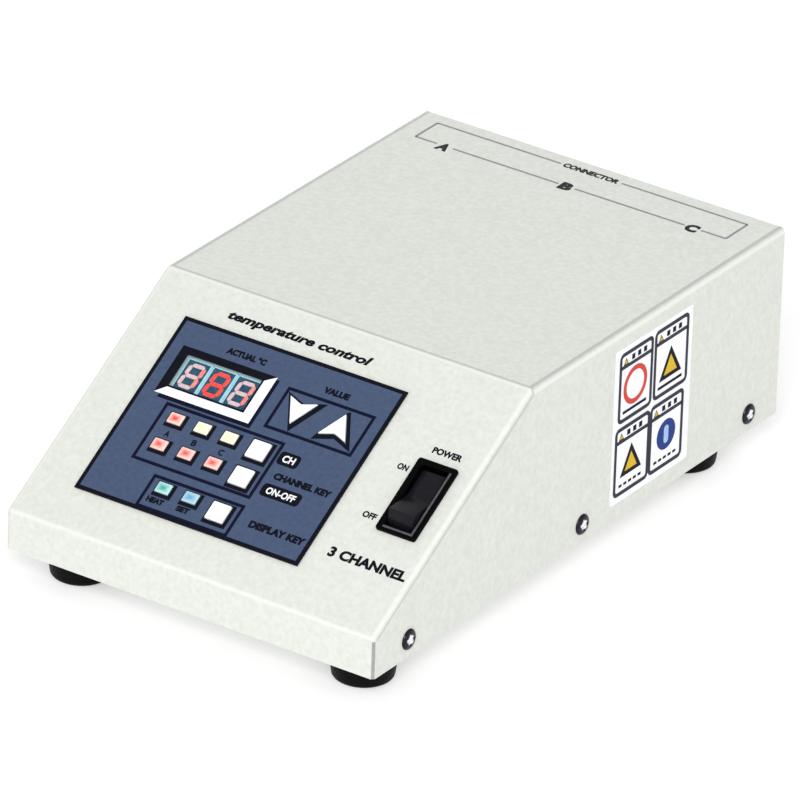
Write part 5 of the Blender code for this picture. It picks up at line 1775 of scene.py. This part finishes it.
# ---------------------------------------------------------------- carried over
def dress_nodes() -> None:
    """Give every CAD node its finish by the start of its name; those still shown keep it."""
    starts = {
        "cover": Slot.COVER, "base_tray": Slot.TRAY, "rear_panel": Slot.PANEL, "control_overlay": Slot.FILM,
        "display_window": Slot.WINDOW, "digit_module": Slot.DIGIT, "channel_lamp": Slot.LAMP_RED,
        "output_lamp": Slot.LAMP_PINK, "mode_lamp": Slot.LAMP_GREEN, "channel_key": Slot.KEY,
        "output_key": Slot.KEY, "mode_key": Slot.KEY, "down_key": Slot.KEY, "up_key": Slot.KEY,
        "control_board": Slot.BOARD, "board_spacer": Slot.SPACER, "ribbon_cable": Slot.CABLE,
        "power_board": Slot.BOARD, "transformer_core": Slot.IRON, "transformer_coil": Slot.TAPE,
        "heat_sink": Slot.SINK, "triac": Slot.EPOXY, "switch_housing": Slot.SWITCH, "rocker": Slot.ROCKER,
        "foot": Slot.FOOT, "side_screw": Slot.SCREW, "inlet_screw": Slot.SCREW, "connector_shell": Slot.SHELL,
        "connector_insert": Slot.INSULATOR, "inlet_housing": Slot.INLET, "inlet_pin_block": Slot.PIN,
        "fuse_holder": Slot.INLET, "fuse_cap": Slot.INLET, "glass_fuse": Slot.FUSE,
    }
    for name, node in frame["nodes"].items():
        slot = next(slot for start, slot in starts.items() if name.startswith(start))
        node.data.materials.clear()
        node.data.materials.append(slot.value[1].build())
        LOG.info("%s carries %s", name, slot.value[1].name)


# ---------------------------------------------------------------- studio
@dataclass
class Studio:
    """A pale floor, soft lights and the camera."""

    position: tuple[float, float, float] = (1.81277, -2.70204, 1.71636)
    right: tuple[float, float, float] = (0.82124655, 0.56979841, 0.02973015)
    up: tuple[float, float, float] = (-0.28274752, 0.36115767, 0.88860508)
    lens: float = 485.7
    sensor: float = 36.0
    far_clip: float = 50.0
    floor_reach: float = 80.0
    world_strength: float = 0.70
    aim: tuple[float, float, float] = (0.0, 0.0, 0.04)
    lamp_size: float = 1.8
    lamps: tuple[tuple[str, tuple[float, float, float], float], ...] = (
        ("front_key", (2.16, -3.45, 2.86), 150.0),
        ("rear_fill", (-2.4, 3.6, 0.6), 28.0),
    )

    def build(self) -> None:
        """Set the stage."""
        self.floor()
        self.world()
        self.lights()
        self.camera()

    def floor(self) -> None:
        """A wide matt white sheet under the feet, lit a little from below."""
        finish = Finish("backlit_white_paper", "CFCFCF", "CDCDCD", 60.0, 8.0, 0.001, 0.9,
                        specular=0.0, glow=0.72)
        mesh = bpy.data.meshes.new("floor")
        reach = self.floor_reach
        corners = [(-reach, -reach, 0), (reach, -reach, 0), (reach, reach, 0), (-reach, reach, 0)]
        mesh.from_pydata(corners, [], [(0, 1, 2, 3)])
        mesh.materials.append(finish.build())
        floor = bpy.data.objects.new("floor", mesh)
        bpy.context.scene.collection.objects.link(floor)

    def world(self) -> None:
        """Even white light from all round."""
        world = bpy.data.worlds.new("studio")
        world.use_nodes = True
        inputs = world.node_tree.nodes["Background"].inputs
        inputs["Color"].default_value = (1.0, 1.0, 1.0, 1.0)
        inputs["Strength"].default_value = self.world_strength
        bpy.context.scene.world = world
        bpy.context.scene.view_settings.view_transform = "Standard"

    def lights(self) -> None:
        """A wide key behind the camera and a weak low one behind the case."""
        for name, place, power in self.lamps:
            light = bpy.data.lights.new(name, "AREA")
            light.size = self.lamp_size
            light.energy = power
            lamp = bpy.data.objects.new(name, light)
            bpy.context.scene.collection.objects.link(lamp)
            lamp.location = place
            aim = np.array(self.aim) - np.array(place)
            lamp.rotation_mode = "QUATERNION"
            lamp.rotation_quaternion = Vector(aim).to_track_quat("-Z", "Y")

    def camera(self) -> None:
        """The camera, turned by its own right and up directions."""
        data = bpy.data.cameras.new("camera")
        data.lens = self.lens
        data.sensor_width = self.sensor
        data.clip_end = self.far_clip
        camera = bpy.data.objects.new("camera", data)
        bpy.context.scene.collection.objects.link(camera)
        back = np.cross(self.right, self.up)
        turn = np.eye(4)
        turn[:3, 0], turn[:3, 1], turn[:3, 2], turn[:3, 3] = self.right, self.up, back, self.position
        camera.matrix_world = Matrix(turn.tolist())
        bpy.context.scene.camera = camera


def main() -> None:
    """Build the object piece by piece, then the studio."""
    logging.basicConfig(level=logging.INFO, format="%(message)s")
    dress_nodes()
    for kind in (Cover, CasePrint, Sticker, Feet, Screws, ControlPanel, PowerSwitch, RearFittings, Studio):
        LOG.info("building %s", kind.__name__)
        kind().build()


if __name__ == "__main__":
    main()
